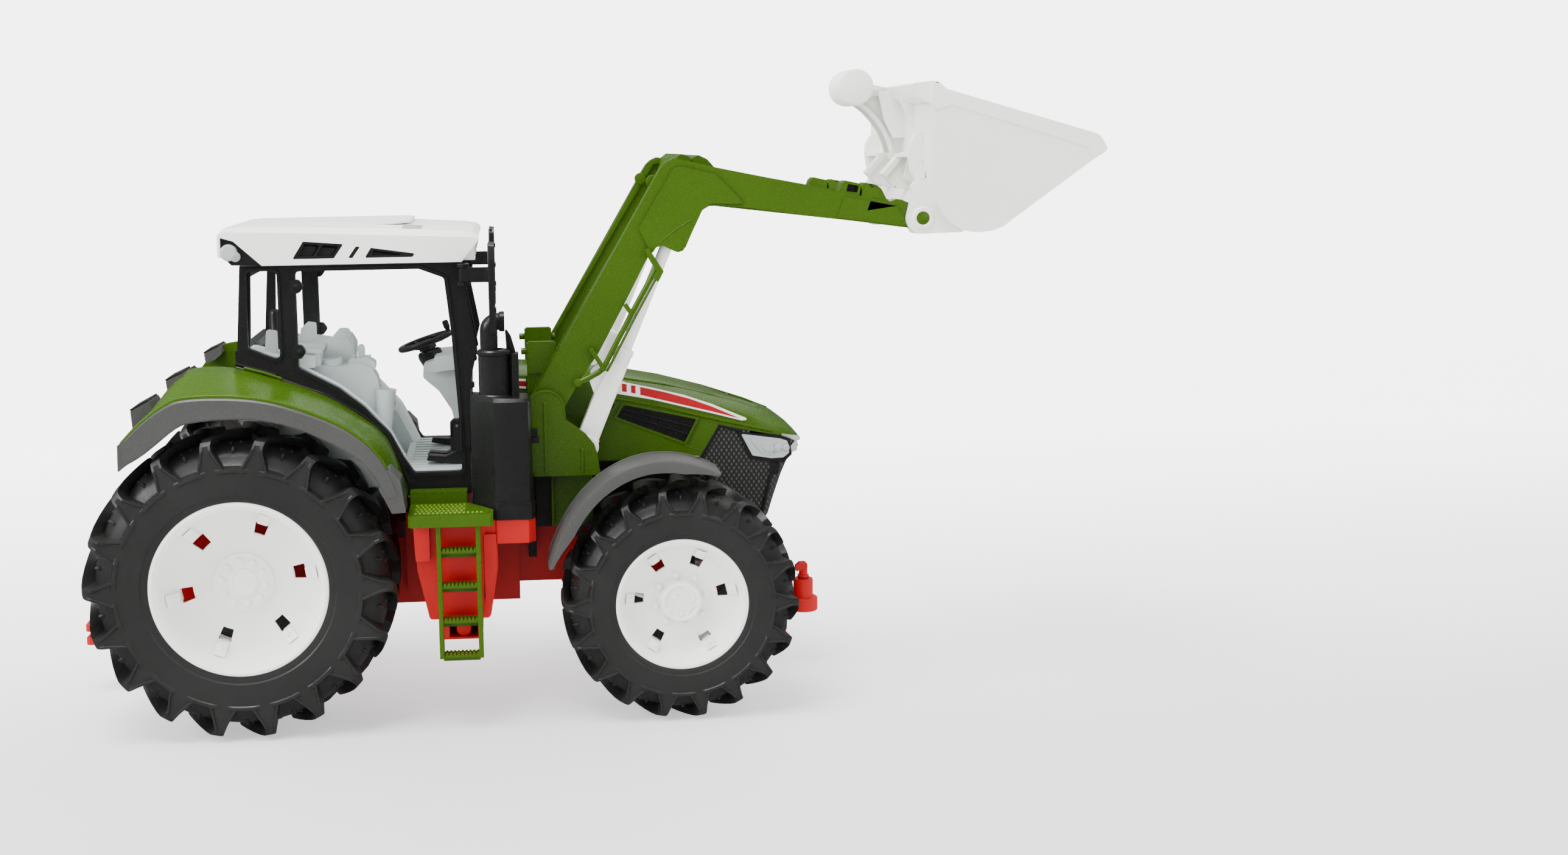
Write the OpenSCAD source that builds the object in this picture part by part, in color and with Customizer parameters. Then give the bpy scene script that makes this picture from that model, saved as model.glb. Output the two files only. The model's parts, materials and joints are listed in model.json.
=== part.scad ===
// Toy farm tractor with a front loader and bucket, in millimetres.
// +X points forwards, +Y to the vehicle's left and +Z up; the wheels stand on z = 0.
// Sub-part coordinates below count x from the rear axle; placed() moves them to the row origin,
// which is the middle of the whole toy's length.

/* [Wheels] */
// Outer diameter of a rear tyre
rear_tyre_d = 125; // [123:0.5:126]
// Width of a rear tyre
rear_tyre_w = 48; // [44:1:48]
// Diameter of the rear rim at the tyre bead
rear_rim_d = 70; // [68:1:72]
// Outer diameter of a front tyre
front_tyre_d = 98; // [96:0.5:99]
// Width of a front tyre
front_tyre_w = 38; // [36:1:38]
// Diameter of the front rim at the tyre bead
front_rim_d = 54; // [52:1:55]
// Distance between the front and rear axles
wheelbase = 177.6; // [177:0.1:178]
// Width over the outer faces of the rear tyres
rear_width = 160; // [160:0.5:162]
// Width over the outer faces of the front tyres
front_width = 149.4; // [149:0.1:151]
// Radius of the wheel stub axles
stub_r = 3; // [2.5:0.1:3.2]
// Radial running gap in the hinges and hubs
run_gap = 0.05; // [0.03:0.01:0.08]

/* [Cab] */
// Half width of the cab frame
cab_half = 47; // [46.8:0.1:47.2]
// Thickness of the cab side frames
cab_wall = 4; // [3:0.5:4]
// Height of the roof's lower edge
roof_z = 189; // [188.8:0.1:189.4]
// Half width of the roof
roof_half = 50; // [49:0.5:51]

/* [Bonnet] */
// Half width of the bonnet
bonnet_half = 26; // [25:0.5:26]
// Wall thickness of the bonnet
bonnet_wall = 2; // [1.5:0.5:2.5]

/* [Loader] */
// Outer face of a loader arm, from the middle plane
arm_out = 42; // [42:0.1:42.2]
// Inner face of a loader arm, from the middle plane
arm_in = 32; // [31.8:0.1:32]
// Radius of the loader arm pivot pins
pivot_r = 2.5; // [2:0.1:3]
// Radius of the shaft through the arm tips
tip_shaft_r = 2.75; // [2.5:0.05:3]
// Half width of the bucket
bucket_half = 59.5; // [58:0.5:60]
// Wall thickness of the bucket
bucket_wall = 2; // [1.5:0.5:2.5]
// Outer radius of a lift cylinder tube
tube_r = 4.4; // [4:0.1:4.5]
// Radius of a lift cylinder rod
rod_r = 2.6; // [2.2:0.1:2.8]

/* [Hitches] */
// Radius of the upright hole in the rear tow hitch
tow_hole_r = 2; // [1.5:0.1:2.5]
// Radius of the front hitch's lift-out pin
hitch_pin_r = 1.6; // [1.2:0.1:1.8]

/* [Hidden] */
$fn = 48;
rear_end_x = -78;
bucket_tip_x = 355;
row_x = (rear_end_x + bucket_tip_x) / 2;
platform_z = 85.2;
rear_r = rear_tyre_d / 2;
front_r = front_tyre_d / 2;
rear_out = rear_width / 2;
front_out = front_width / 2;
kingpin_y = 33;
// Loader arm pivot, lift cylinder pivots and arm tip shaft, as [x, z]
arm_pivot = [124.2, 127];
tube_pivot = [141.5, 110];
rod_eye = [177, 195.3];
tip_pivot = [282, 203];
// Lift cylinder at rest: its slope, and stations along its axis from the lower pivot
lift_len = norm(rod_eye - tube_pivot);
lift_slope = atan2(rod_eye[1] - tube_pivot[1], rod_eye[0] - tube_pivot[0]);
tube_len = 42;
tube_floor = 6;
rod_start = 31;
// Bonnet hinge and steering column, as [x, z]
bonnet_hinge = [118, 135.5];
wheel_hub = [75, 147.6];
wheel_tilt = -18;
mirror_pivot = [92, 52.2];

// ---- Shared shapes ----
module placed() translate([-row_x, 0, 0]) children();

// A plate whose outline is drawn in x and z, from y0 to y1
module side_plate(points, y0, y1) {
    translate([0, y1, 0]) rotate([90, 0, 0]) linear_extrude(y1 - y0) polygon(points);
}

// Cylinders along Y and along X
module y_cyl(r, y0, y1, x, z) translate([x, y1, z]) rotate([90, 0, 0]) cylinder(r = r, h = y1 - y0);
module x_cyl(r, x0, x1, y, z) translate([x0, y, z]) rotate([0, 90, 0]) cylinder(r = r, h = x1 - x0);

// A block given by its low and high corners
module block(low, high) translate(low) cube(high - low);

module both_sides() {
    children();
    mirror([0, 1, 0]) children();
}

// The right-hand shape, or its mirror image on the left
module on_side(left) mirror([0, left ? 1 : 0, 0]) children();

// ---- Chassis and driveline ----
module chassis() color("firebrick") placed() difference() {
    union() {
        block([-38, -16, 39], [112, 16, 68]);
        block([-30, -20, 50], [34, 20, 88]);
        block([112, -12, 46], [160, 12, 66]);
        // Rear axle trumpets, and the shoulders behind the tanks
        y_cyl(8.5, -34, 34, 0, rear_r);
        block([64, -30, 44], [100, 30, 82]);
        // Front rail, with the two lugs that hold the axle pivot pin
        block([112, -12, 66], [206, 12, 74]);
        block([156, -7, 42], [161, 7, 68]);
        block([194, -7, 26], [200, 7, 68]);
        // Brackets under the cab and under the exhaust housing
        block([10, -30, 84], [65, 30, 88]);
        block([99, -64, 75.5], [118.5, -28, platform_z]);
        block([99, -28, 75.5], [115.8, -16, platform_z]);
    }
    y_cyl(stub_r, -60, 60, 0, rear_r);
    x_cyl(pivot_r, 150, 205, 0, front_r);
    screw_places() cylinder(r = 1.5, h = 14);
}

module screw_places() {
    for (x = [-25, 25, 75, 105]) translate([x, 0, 36]) children();
}

module chassis_screws() color("silver") placed() screw_places() {
    difference() {
        union() {
            translate([0, 0, 1]) cylinder(r = 3, h = 2);
            cylinder(r = 1.5, h = 14);
        }
        translate([-2.2, -0.4, -1]) cube([4.4, 0.8, 2.6]);
    }
}

module engine_block() color("dimgray") placed() {
    difference() {
        union() {
            block([116, -20, 74], [196, 20, 84]);
            block([120, -16, 84], [188, 16, 108]);
            block([126, -11, 108], [160, 11, 122]);
            block([116, -26, 60], [119.5, 26, 98]);
            // Post and pin of the bonnet hinge
            block([116.4, -7, 98], [119.6, 7, bonnet_hinge[1]]);
            y_cyl(1.9, -7, 7, bonnet_hinge[0], bonnet_hinge[1]);
            y_cyl(1.2, -13.6, 13.6, bonnet_hinge[0], bonnet_hinge[1]);
        }
        block([115, -12.5, 59], [120, 12.5, 74]);
    }
    both_sides() for (x = [132:12:180]) y_cyl(3, 15, 19.5, x, 98);
}

module rear_stub_axles() color("silver") placed() both_sides() {
    y_cyl(stub_r, 22, 58, 0, rear_r);
}

// ---- Cab ----
cab_side = [[2, 188.6], [-0.5, 154], [-1.5, 146.5], [17, 141], [35, 134], [50, 124.5], [58, 117.5],
    [62.5, 108], [66, 97], [66, 92.5], [93, 92.5], [93, 137], [96.8, 153], [90.5, 188.6]];
door_opening = [[24, 186.3], [74, 186.3], [84, 182.5], [86.3, 160], [89, 115], [89, 102], [69, 102],
    [65, 108], [60, 119], [50, 130.5], [40, 138.5], [24, 147.5]];
quarter_window = [[4.5, 186.3], [17, 186.3], [17, 150.5], [3.8, 155.5]];

module cab_frame() color([0.12, 0.12, 0.13]) placed() {
    both_sides() {
        difference() {
            side_plate(cab_side, cab_half - cab_wall, cab_half);
            side_plate(door_opening, cab_half - cab_wall - 1, cab_half + 1);
            side_plate(quarter_window, cab_half - cab_wall - 1, cab_half + 1);
        }
        // Lugs and pin of the mirror hinge
        for (z = [179.6, 186.8]) block([89.5, 46, z], [94.4, 54.6, z + 1.4]);
        translate([mirror_pivot[0], mirror_pivot[1], 179.6]) cylinder(r = 1.2, h = 8.6);
        // Hinge lugs on the middle pillar and the latch plate on the front pillar
        for (z = [153.8, 180.3]) side_plate([[21.5, z - 2], [27, z - 2], [27, z + 2], [21.5, z + 2]],
            cab_half, cab_half + 1.6);
        block([84.5, cab_half - 2, 110.5], [89.5, cab_half + 0.8, 124.5]);
    }
    // Post behind the seat
    block([6, -5, 147.6], [12, 5, 157]);
    translate([9.4, 0, 157]) cylinder(r = 2.6, h = 8.6);
    // Rails that join the two sides
    block([2, -44, 184], [6, 44, 188.6]);
    block([84, -44, 184], [90.5, 44, 188.6]);
    block([-1, -44, 147], [2.5, 44, 154]);
    block([91, -44, 128], [93, 44, 146]);
    difference() {
        block([66, -44, 92.5], [93, 44, 95.5]);
        block([70, -20, 92], [88, 20, 96]);
    }
}

roof_outline = [[11.5, roof_z], [92, roof_z], [98.6, 197.6], [99, 200], [96, 202.2], [60, 204], [10, 205],
    [-4, 203.5], [-6, 201], [-5.6, 192.5], [0.5, 189.6]];
roof_corner = [[11.5, roof_z - 0.1], [0.5, 199], [-7, 201.5], [-7, 189]];

module roof() color("whitesmoke") placed() difference() {
    side_plate(roof_outline, -roof_half, roof_half);
    both_sides() side_plate(roof_corner, roof_half - 4, roof_half + 1);
    both_sides() block([91, 28, roof_z - 1], [100, roof_half + 1, 197]);
    block([14, -42, roof_z - 1], [84, 42, 198]);
}

module roof_corner_trims() color([0.12, 0.12, 0.13]) placed() both_sides() {
    intersection() {
        side_plate(roof_corner, roof_half - 4, roof_half);
        side_plate(roof_outline, -roof_half, roof_half + 1);
    }
    block([91, 28, roof_z], [93, roof_half - 1, 197]);
}

module roof_lamps() color("lightgray") placed() both_sides() {
    y_cyl(3.4, roof_half, roof_half + 2.4, -1.5, 194.4);
    for (y = [32, 38.5, 45]) x_cyl(2.8, 93, 97.5, y, 193);
}

inner_arch = [[16, 147.5], [24, 146.5], [40, 137], [50, 129], [60, 117], [65, 106], [68, 99.5],
    [68, 96], [66, 95.6], [16, 95.6]];

module cab_floor() color("lightsteelblue") placed() {
    block([68, -42.8, 96], [90.8, 42.8, 102]);
    block([3, -29, 88.2], [65.9, 29, 96]);
    both_sides() difference() {
        union() {
            side_plate(inner_arch, 29, 42.8);
            block([3, 0, 96], [16, 42.8, 147.5]);
            block([3, 22, 147.5], [22, 42.8, 151]);
        }
        y_cyl(rear_r + 3, 31, 44, 0, rear_r);
    }
}

module driver_seat() color("lightsteelblue") placed() {
    block([24, -13, 96], [50, 13, 112]);
    block([22, -16, 112], [56, 16, 128]);
    side_plate([[22, 128], [38, 128], [43.5, 140], [43, 154], [40, 157.3], [34, 156.5], [32, 152], [22, 150]],
        -15, 15);
    block([22, -14, 150], [24.5, 14, 156]);
}

module armrest_console() color("lightsteelblue") placed() {
    side_plate([[26, 96], [56, 96], [56, 130], [53, 144], [47, 146.5], [36, 144.5], [26, 146]], -28.8, -18);
    translate([47.8, -24, 146]) cylinder(r = 1.5, h = 7);
}

module dash_console() color("lightsteelblue") placed() difference() {
    side_plate([[73, 143], [90.8, 146], [90.8, 102], [88.5, 102], [85, 119], [84.5, 122.5], [79.3, 131],
        [72.5, 137], [72.5, 142]], -14, 14);
    steering_axis() translate([0, 0, -7.6]) cylinder(r = 2.45, h = 12);
}

module pedals() color([0.12, 0.12, 0.13]) placed() {
    for (y = [-34, -26, 16]) {
        block([80, y, 102], [90, y + 4, 104]);
        side_plate([[74, 106], [86, 104.5], [88, 103.9], [88, 102.5], [84, 102.5], [74, 104.5]], y, y + 5);
    }
}

module steering_axis() {
    translate([wheel_hub[0], 0, wheel_hub[1]]) rotate([0, wheel_tilt, 0]) children();
}

module steering_wheel() color([0.1, 0.1, 0.1]) placed() steering_axis() {
    translate([0, 0, 4]) rotate_extrude() translate([11, 0]) circle(r = 1.2);
    translate([0, 0, 0.3]) cylinder(r = 3.6, h = 3.7);
    translate([0, 0, -7]) cylinder(r = 2.4, h = 8);
    for (a = [60, 180, 300]) rotate([0, 0, a]) translate([0, -1.1, 2.6]) cube([11, 2.2, 1.6]);
    translate([-10.8, 0, 4.6]) cylinder(r = 1.1, h = 4.6);
}

// ---- Fenders, steps and tanks ----
arch_line = [[-34, 118.5], [-21, 128], [-12, 130.5], [0, 131.3], [13, 130.5], [27, 126.5], [41, 120],
    [52, 112], [57.5, 104.5], [61.5, 93]];
fender_top = [[-43.1, 121.4], [-23.9, 144.7], [-15.8, 148], [-1.5, 146.4], [17, 141], [35, 134],
    [50, 124.5], [58, 117.5], [62.5, 108], [66, 97], [66, 93]];
trim_top = [[-43, 123], [-36, 130.5], [-24, 138], [-16, 140], [0, 140], [14, 138.5], [28, 134], [42, 128],
    [55, 119], [61, 109], [66.5, 92.5]];

function reversed(list) = [for (i = [len(list) - 1:-1:0]) list[i]];

module fender(left) color("olivedrab") placed() on_side(left) {
    side_plate(concat(fender_top, reversed(arch_line), [[-39, 115.5]]), -76, -73.5);
    difference() {
        side_plate(concat(fender_top, reversed(arch_line), [[-39, 115.5]]), -73.5, -47);
        side_plate(concat([for (p = fender_top) p - [0, 2.5]], [[62, 80], [-60, 80], [-50, 112]]), -75, -46);
    }
}

module fender_trim(left) color([0.2, 0.2, 0.2]) placed() on_side(left) {
    side_plate(concat(trim_top, reversed(arch_line), [[-39, 115.5], [-44, 111.5]]), -rear_out + 0.2, -76);
}

module step(left) color("olivedrab") placed() on_side(left) {
    // Platform with its fascia and the raised shelf behind it, cut back round the exhaust housing
    difference() {
        block([67.5, -78, platform_z], [101.5, -54, 90.6]);
        translate([0, 0, platform_z - 1]) linear_extrude(8) polygon([[92.3, -53], [92.3, -54.2],
            [102.5, -68.1], [110, -68.1], [110, -53]]);
    }
    block([67.5, -54, platform_z], [91, -47.2, 95.5]);
    // Ladder rails and treads
    for (x = [78.5, 94.3]) block([x, -76.6, 30.6], [x + 1.9, -71, platform_z]);
    for (z = [31, 45.4, 59.8, 74.2]) block([80.4, -76.8, z], [94.3, -70.5, z + 2.4]);
    for (z = [31, 45.4, 59.8, 74.2]) block([80.4, -72, z - 3.4], [94.3, -70.5, z]);
}

module tank(left) color("red") placed() on_side(left) difference() {
    union() {
        side_plate([[69, platform_z], [103, platform_z], [103, 66], [99.5, 44.5], [96, 44.5], [96, 36],
            [79, 36], [79, 44.5], [74, 44.5], [69.5, 68]], -69, -30);
        block([69, -71, 70], [75, -69, platform_z]);
    }
    block([82, -70, 34], [93, -60, 42]);
    if (!left) block([98.9, -64.1, 75.4], [104, -29, platform_z + 1]);
}

// ---- Exhaust housing, pipe and mirrors ----
housing_plan = [[93.2, -54], [103, -67], [116, -67], [118, -63], [118, -47.5], [93.2, -47.5]];

module exhaust_housing() color([0.13, 0.13, 0.13]) placed() {
    translate([0, 0, 92]) linear_extrude(42) polygon(housing_plan);
    translate([0, 0, platform_z]) linear_extrude(92 - platform_z) polygon([[92.6, -54], [102.7, -67.8],
        [116.4, -67.8], [118.7, -63.2], [118.7, -47.3], [102, -47.3], [102, -53.8], [92.6, -53.8]]);
    translate([103.3, -55, 134]) cylinder(r = 6.2, h = 19.6);
    translate([103.3, -55, 134]) cylinder(r = 6.8, h = 1.2);
    translate([118, -60, 116]) cube([2.6, 5, 4.6]);
}

module exhaust_pipe() color([0.13, 0.13, 0.13]) placed() translate([101.6, -55, 153.6]) difference() {
    union() {
        cylinder(r = 3.6, h = 8);
        translate([3.6, 0, 8]) rotate([90, 0, 180]) rotate_extrude(angle = 90) translate([3.6, 0])
            circle(r = 3.2);
        x_cyl(4, 3.4, 6.4, 0, 11.4);
    }
    x_cyl(3.1, 4.6, 8, 0, 11.4);
}

module wing_mirror(left) color([0.12, 0.12, 0.13]) placed() on_side(left) {
    difference() {
        union() {
            translate([mirror_pivot[0], -mirror_pivot[1], 181.2]) cylinder(r = 2.4, h = 5.4);
            side_plate([[92, 186.4], [103.8, 186.2], [103.8, 182], [92, 181.4]], -54.6, -52.4);
            block([101.6, -62, 182], [103.8, -53, 186]);
            block([102.4, -78, 161.4], [105, -60.6, 197.6]);
        }
        translate([mirror_pivot[0], -mirror_pivot[1], 180]) cylinder(r = 1.25, h = 8);
        block([101, -76.6, 163], [103.2, -62.1, 181.4]);
        block([101, -76.6, 186.6], [103.2, -62.1, 196]);
    }
}

// ---- Bonnet ----
bonnet_side = [[112, 101], [112, 141.5], [159, 136], [184, 131], [226, 117.5], [237, 106], [235.5, 104.6],
    [226, 109.6], [199, 115.2], [191, 101.5]];
bonnet_inner = [[111, 100], [111, 139], [158, 133.8], [184, 128.5], [225, 115], [231, 109], [226, 111.6],
    [197.5, 117.4], [188, 100]];
grille_side = [[191, 101.5], [199, 115.2], [226, 109.6], [232.5, 106.1], [229.5, 97], [222, 73], [204, 73],
    [196, 90]];
grille_inner = [[189, 99.5], [197, 117], [226, 112], [230.4, 106], [227.4, 97], [220.4, 75], [220.4, 72],
    [204, 72], [194, 90]];
lamp_outline = [[207.5, 110.6], [228, 107.6], [229.6, 103], [226.6, 100.2], [213, 101.6]];
vent_outline = [[158, 124.6], [188.5, 118], [183.5, 108.2], [155, 119.8]];
small_vent = [[150, 126.4], [154.4, 125.6], [151.5, 120.6], [147.5, 121.6]];

module bonnet() color("olivedrab") placed() difference() {
    union() {
        difference() {
            side_plate(bonnet_side, -bonnet_half, bonnet_half);
            side_plate(bonnet_inner, -bonnet_half + bonnet_wall, bonnet_half - bonnet_wall);
        }
        both_sides() block([bonnet_hinge[0] - 2, 8, bonnet_hinge[1] - 2],
            [bonnet_hinge[0] + 2, 13, bonnet_hinge[1] + 4]);
    }
    y_cyl(1.2 + run_gap, -14, 14, bonnet_hinge[0], bonnet_hinge[1]);
    both_sides() side_plate(vent_outline, bonnet_half - 1, bonnet_half + 1);
    both_sides() side_plate(small_vent, bonnet_half - 1, bonnet_half + 1);
}

module grille() color([0.15, 0.15, 0.15]) placed() difference() {
    side_plate(grille_side, -bonnet_half, bonnet_half);
    side_plate(grille_inner, -bonnet_half + 2, bonnet_half - 2);
    both_sides() side_plate(lamp_outline, bonnet_half - 1, bonnet_half + 1);
}

module headlamps() color("gainsboro") placed() both_sides() {
    side_plate(lamp_outline, bonnet_half - 1, bonnet_half);
}

module bonnet_vents() color([0.15, 0.15, 0.15]) placed() both_sides() {
    side_plate(vent_outline, bonnet_half - 1, bonnet_half);
    side_plate(small_vent, bonnet_half - 1, bonnet_half);
}

// ---- Loader ----
bracket_outline = concat(
    [for (a = [0:15:180]) arm_pivot + [8 * cos(a), 8 * sin(a)]],
    [[116.2, 100], [146.5, 100], [145, 110], [141, 116], [134, 121.5], [132.4, 122]]);

module loader_bracket(left) color("olivedrab") placed() on_side(left) difference() {
    union() {
        side_plate(bracket_outline, -44.5, -42.5);
        side_plate(bracket_outline, -31.5, -29.5);
        block([118.8, -44.5, 98.5], [146.5, -26, 101]);
        block([119.6, -30, 74], [146, -27, 98.5]);
        block([121, -27, 74], [131, -20.2, 84]);
        // Rib plates on the outer face, and the tower on the inner plate
        block([123.4, -45.2, 101], [125, -44.5, 128]);
        block([138.6, -45.2, 101], [139.8, -44.5, 109]);
        block([117, -31.5, 130], [129.5, -26.6, 153.6]);
        x_cyl(1.4, 114.6, 117, -29, 149.6);
        x_cyl(1.4, 129.5, 131.4, -29, 149.6);
    }
    y_cyl(pivot_r, -46, -29, arm_pivot[0], arm_pivot[1]);
    y_cyl(1.8, -46, -29, tube_pivot[0], tube_pivot[1]);
}

module arm_pivot_pins() color("silver") placed() both_sides() {
    y_cyl(pivot_r, 29.6, 44.4, arm_pivot[0], arm_pivot[1]);
    y_cyl(1.8, 29.6, 44.4, tube_pivot[0], tube_pivot[1]);
}

arm_outline = concat(
    [for (a = [150:20:330]) arm_pivot + [6.8 * cos(a), 6.8 * sin(a)]],
    [[139, 138.5], [147, 150], [159, 172], [167.5, 188], [170, 192], [173, 193.6], [177, 192.6],
    [180, 190.6], [183.5, 191.8], [186, 198], [190, 206.5], [193.5, 209.3], [209, 208.4], [276, 199]],
    [for (a = [-60:20:60]) tip_pivot + [6 * cos(a), 6 * sin(a)]],
    [[277, 209.4], [272, 211], [268, 209.6], [197, 225], [181, 229], [178, 229], [174, 226], [160.8, 203]]);
rod_pocket = [[164, 180], [169, 201], [173, 205], [183, 205], [190, 196], [184, 186], [172, 180]];

module arm(left) color("olivedrab") placed() on_side(left) difference() {
    side_plate(arm_outline, -arm_out, -arm_in);
    side_plate(rod_pocket, -40.2, -33.8);
    y_cyl(pivot_r + run_gap, -arm_out - 1, -arm_in + 1, arm_pivot[0], arm_pivot[1]);
    y_cyl(tip_shaft_r, -arm_out - 1, -arm_in + 1, tip_pivot[0], tip_pivot[1]);
}

module arm_crosspieces() color("olivedrab") placed() {
    side_plate([[180, 221], [181, 229], [183.5, 231], [187, 229], [188, 223]], -arm_in, arm_in);
    side_plate([[188, 223], [187, 229], [190.5, 230.4], [196.5, 226], [196.5, 222]], -arm_in, arm_in);
    y_cyl(4, -arm_in, arm_in, 205, 215);
    y_cyl(tip_shaft_r, -46.6, 46.6, tip_pivot[0], tip_pivot[1]);
}

module arm_guards() color("olivedrab") placed() both_sides() {
    hull() {
        y_cyl(1.3, 42, 44.4, 138.2, 137.8);
        y_cyl(1.3, 42, 44.4, 148, 142.6);
    }
    hull() {
        y_cyl(1.3, 42, 44.4, 148, 142.6);
        y_cyl(1.3, 42, 44.4, 171.4, 185.4);
    }
    side_plate([[143, 151.6], [144.4, 152.2], [149.8, 142.6], [148.4, 142]], 42, 44.8);
    side_plate([[157.4, 169.2], [158.8, 170], [161.4, 166], [160, 165.2]], 42, 44.8);
    side_plate([[166.6, 191.6], [168, 192.4], [174, 183], [171.6, 179], [170, 181]], 42, 44.8);
}

module coupler_latches() color("olivedrab") placed() both_sides() difference() {
    side_plate([[247.5, 214.05], [250, 218.6], [256.5, 217.3], [258.2, 217.9], [264, 216.3], [267.6, 211],
        [267.6, 209.69]], 33, 41);
    side_plate([[251.3, 214.6], [252, 217], [256, 216.2], [255.2, 214]], 38, 42);
}

// Lift cylinder parts are drawn along +X from the lower pivot, then turned to the cylinder's slope
module lift_line(left) on_side(left) {
    translate([tube_pivot[0], -(arm_in + arm_out) / 2, tube_pivot[1]]) rotate([0, -lift_slope, 0]) children();
}

module lift_tube(left) color("whitesmoke") placed() lift_line(left) difference() {
    union() {
        x_cyl(tube_r - 0.3, 3, tube_len - 7, 0, 0);
        x_cyl(tube_r, tube_len - 8, tube_len, 0, 0);
        y_cyl(4.8, -4.6, 4.6, 0, 0);
        translate([3, -3.4, -1]) cube([26, 6.8, 6.6]);
    }
    x_cyl(rod_r + run_gap, tube_floor, tube_len + 1, 0, 0);
    y_cyl(1.8 + run_gap, -6, 6, 0, 0);
}

module lift_rod(left) color("whitesmoke") placed() lift_line(left) {
    x_cyl(rod_r, rod_start, lift_len, 0, 0);
    translate([lift_len, 0, 0]) sphere(r = rod_r);
}

// ---- Bucket ----
bucket_cheek = [[282, 258.5], [285.4, 257.6], [287.5, 255], [350.5, 236.6], [355, 230.6], [349, 226], [313, 200],
    [308, 198], [300, 197.4], [294.5, 198.8], [288.6, 203.4], [285.4, 209], [283.6, 216], [282, 232]];
bucket_skin = [[282, 258.5], [282, 226], [290.5, 214], [290.5, 204], [296, 198.6], [300, 197.4], [308, 198],
    [313, 200], [349, 226], [355, 230.6], [352, 230.9], [348, 228], [312, 202], [307.5, 200], [300, 199.5],
    [297, 200.4], [292.6, 204.9], [292.6, 214.8], [284.1, 226.8], [284.1, 258.3]];

module bucket() color("whitesmoke") placed() {
    both_sides() side_plate(bucket_cheek, bucket_half - bucket_wall, bucket_half);
    side_plate(bucket_skin, -bucket_half + bucket_wall, bucket_half - bucket_wall);
}

module bucket_back_frame() color("whitesmoke") placed() {
    both_sides() {
        difference() {
            union() {
                y_cyl(6.5, 42.4, 47, tip_pivot[0], tip_pivot[1]);
                side_plate([[276.4, 206], [279, 216], [278.6, 230], [279.6, 238], [282, 241], [282, 226],
                    [290.4, 214], [290.4, 204], [287, 199], [282, 196.6]], 42.4, 47);
            }
            y_cyl(tip_shaft_r + run_gap, 41, 48, tip_pivot[0], tip_pivot[1]);
        }
        // Hook ribs
        side_plate([[282, 229], [279.5, 229.6], [270.4, 220.8], [276, 215.4], [279.6, 215.2], [282, 217]],
            15.5, 18.5);
    }
    block([280, -47, 226.4], [282, 47, 229]);
}

module bucket_handle() color("whitesmoke") placed() {
    side_plate([[282, 229.4], [279.4, 229.4], [275, 236], [267.7, 243.6], [262, 249], [266, 262], [274, 258],
        [282, 257]], -5, 5);
    difference() {
        y_cyl(7.8, -12, 12, 260.8, 257.6);
        difference() {
            y_cyl(8.8, -1.2, 1.2, 260.8, 257.6);
            y_cyl(6, -1.3, 1.3, 260.8, 257.6);
        }
    }
}

// ---- Front axle and steering ----
module front_axle() color("firebrick") placed() difference() {
    union() {
        block([wheelbase - 7, -24, 44], [wheelbase + 7, 24, 54]);
        x_cyl(6.6, wheelbase - 14, wheelbase + 8, 0, front_r);
        both_sides() {
            for (z = [41, 54.4]) {
                block([wheelbase - 3.2, 24, z], [wheelbase + 3.2, kingpin_y, z + 2.6]);
                translate([wheelbase, kingpin_y, z]) cylinder(r = 3.2, h = 2.6);
            }
            block([wheelbase - 6, 21, 41], [wheelbase + 6, 26, 57]);
        }
    }
    x_cyl(pivot_r + run_gap, wheelbase - 15, wheelbase + 15, 0, front_r);
    both_sides() translate([wheelbase, kingpin_y, 40]) cylinder(r = 1.8 + run_gap, h = 18);
}

module axle_pivot_pin() color("silver") placed() x_cyl(pivot_r, 156.2, 199.8, 0, front_r);

module knuckle(left) color([0.15, 0.15, 0.15]) placed() on_side(left) {
    translate([wheelbase, -kingpin_y, 41.2]) cylinder(r = 1.8, h = 15.6);
    block([wheelbase - 4, -35.4, 44], [wheelbase + 4, -30, 54]);
    block([wheelbase + 3.8, -35.4, 45], [wheelbase + 9.4, -33, 52]);
    y_cyl(stub_r, -56, -34, wheelbase, front_r);
    // Steering arm with its tie rod pin
    block([wheelbase + 3, -34.5, 45], [wheelbase + 14, -31.5, 47.4]);
    translate([wheelbase + 12, -kingpin_y, 41.4]) cylinder(r = 1.2, h = 4);
    // Mudguard and the stay that carries it
    block([wheelbase + 3.8, -35.4, 47.4], [wheelbase + 9.4, -33.6, 104]);
    block([wheelbase + 1, -54, 102], [wheelbase + 9.4, -33.6, 104]);
    translate([175, -54, 58]) rotate([90, -66, 0]) rotate_extrude(angle = 105) translate([48.6, 0])
        square([3, 22]);
    block([wheelbase + 1, -56, 103], [wheelbase + 9.4, -54, 107.6]);
}

module tie_rod() color("firebrick") placed() difference() {
    block([wheelbase + 9.4, -36, 41.9], [wheelbase + 14.6, 36, 43.9]);
    both_sides() translate([wheelbase + 12, kingpin_y, 41]) cylinder(r = 1.6, h = 4);
}

// ---- Wheels, drawn with the outer face up at z = 0 and turned onto the axle ----
module wheel_place(left, x, out, r) on_side(left) {
    translate([x, -out, r]) rotate([90, 0, 0]) children();
}

module tyre(r, w, rim_r) rotate_extrude() difference() {
    polygon([[rim_r, -w + 2.5], [rim_r + 2, -w + 1], [rim_r + (r - rim_r) * 0.45, -w], [r - 5, -w + 1.5],
        [r - 1.2, -w + 6], [r, -w + 12], [r, -12], [r - 1.2, -6], [r - 5, -1.5],
        [rim_r + (r - rim_r) * 0.45, 0], [rim_r + 2, -1], [rim_r, -2.5]]);
    polygon([[rim_r - 1, -w + 7], [r - 8, -w + 5], [r - 4, -w + 12], [r - 4, -12], [r - 8, -5],
        [rim_r - 1, -7]]);
}

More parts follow.
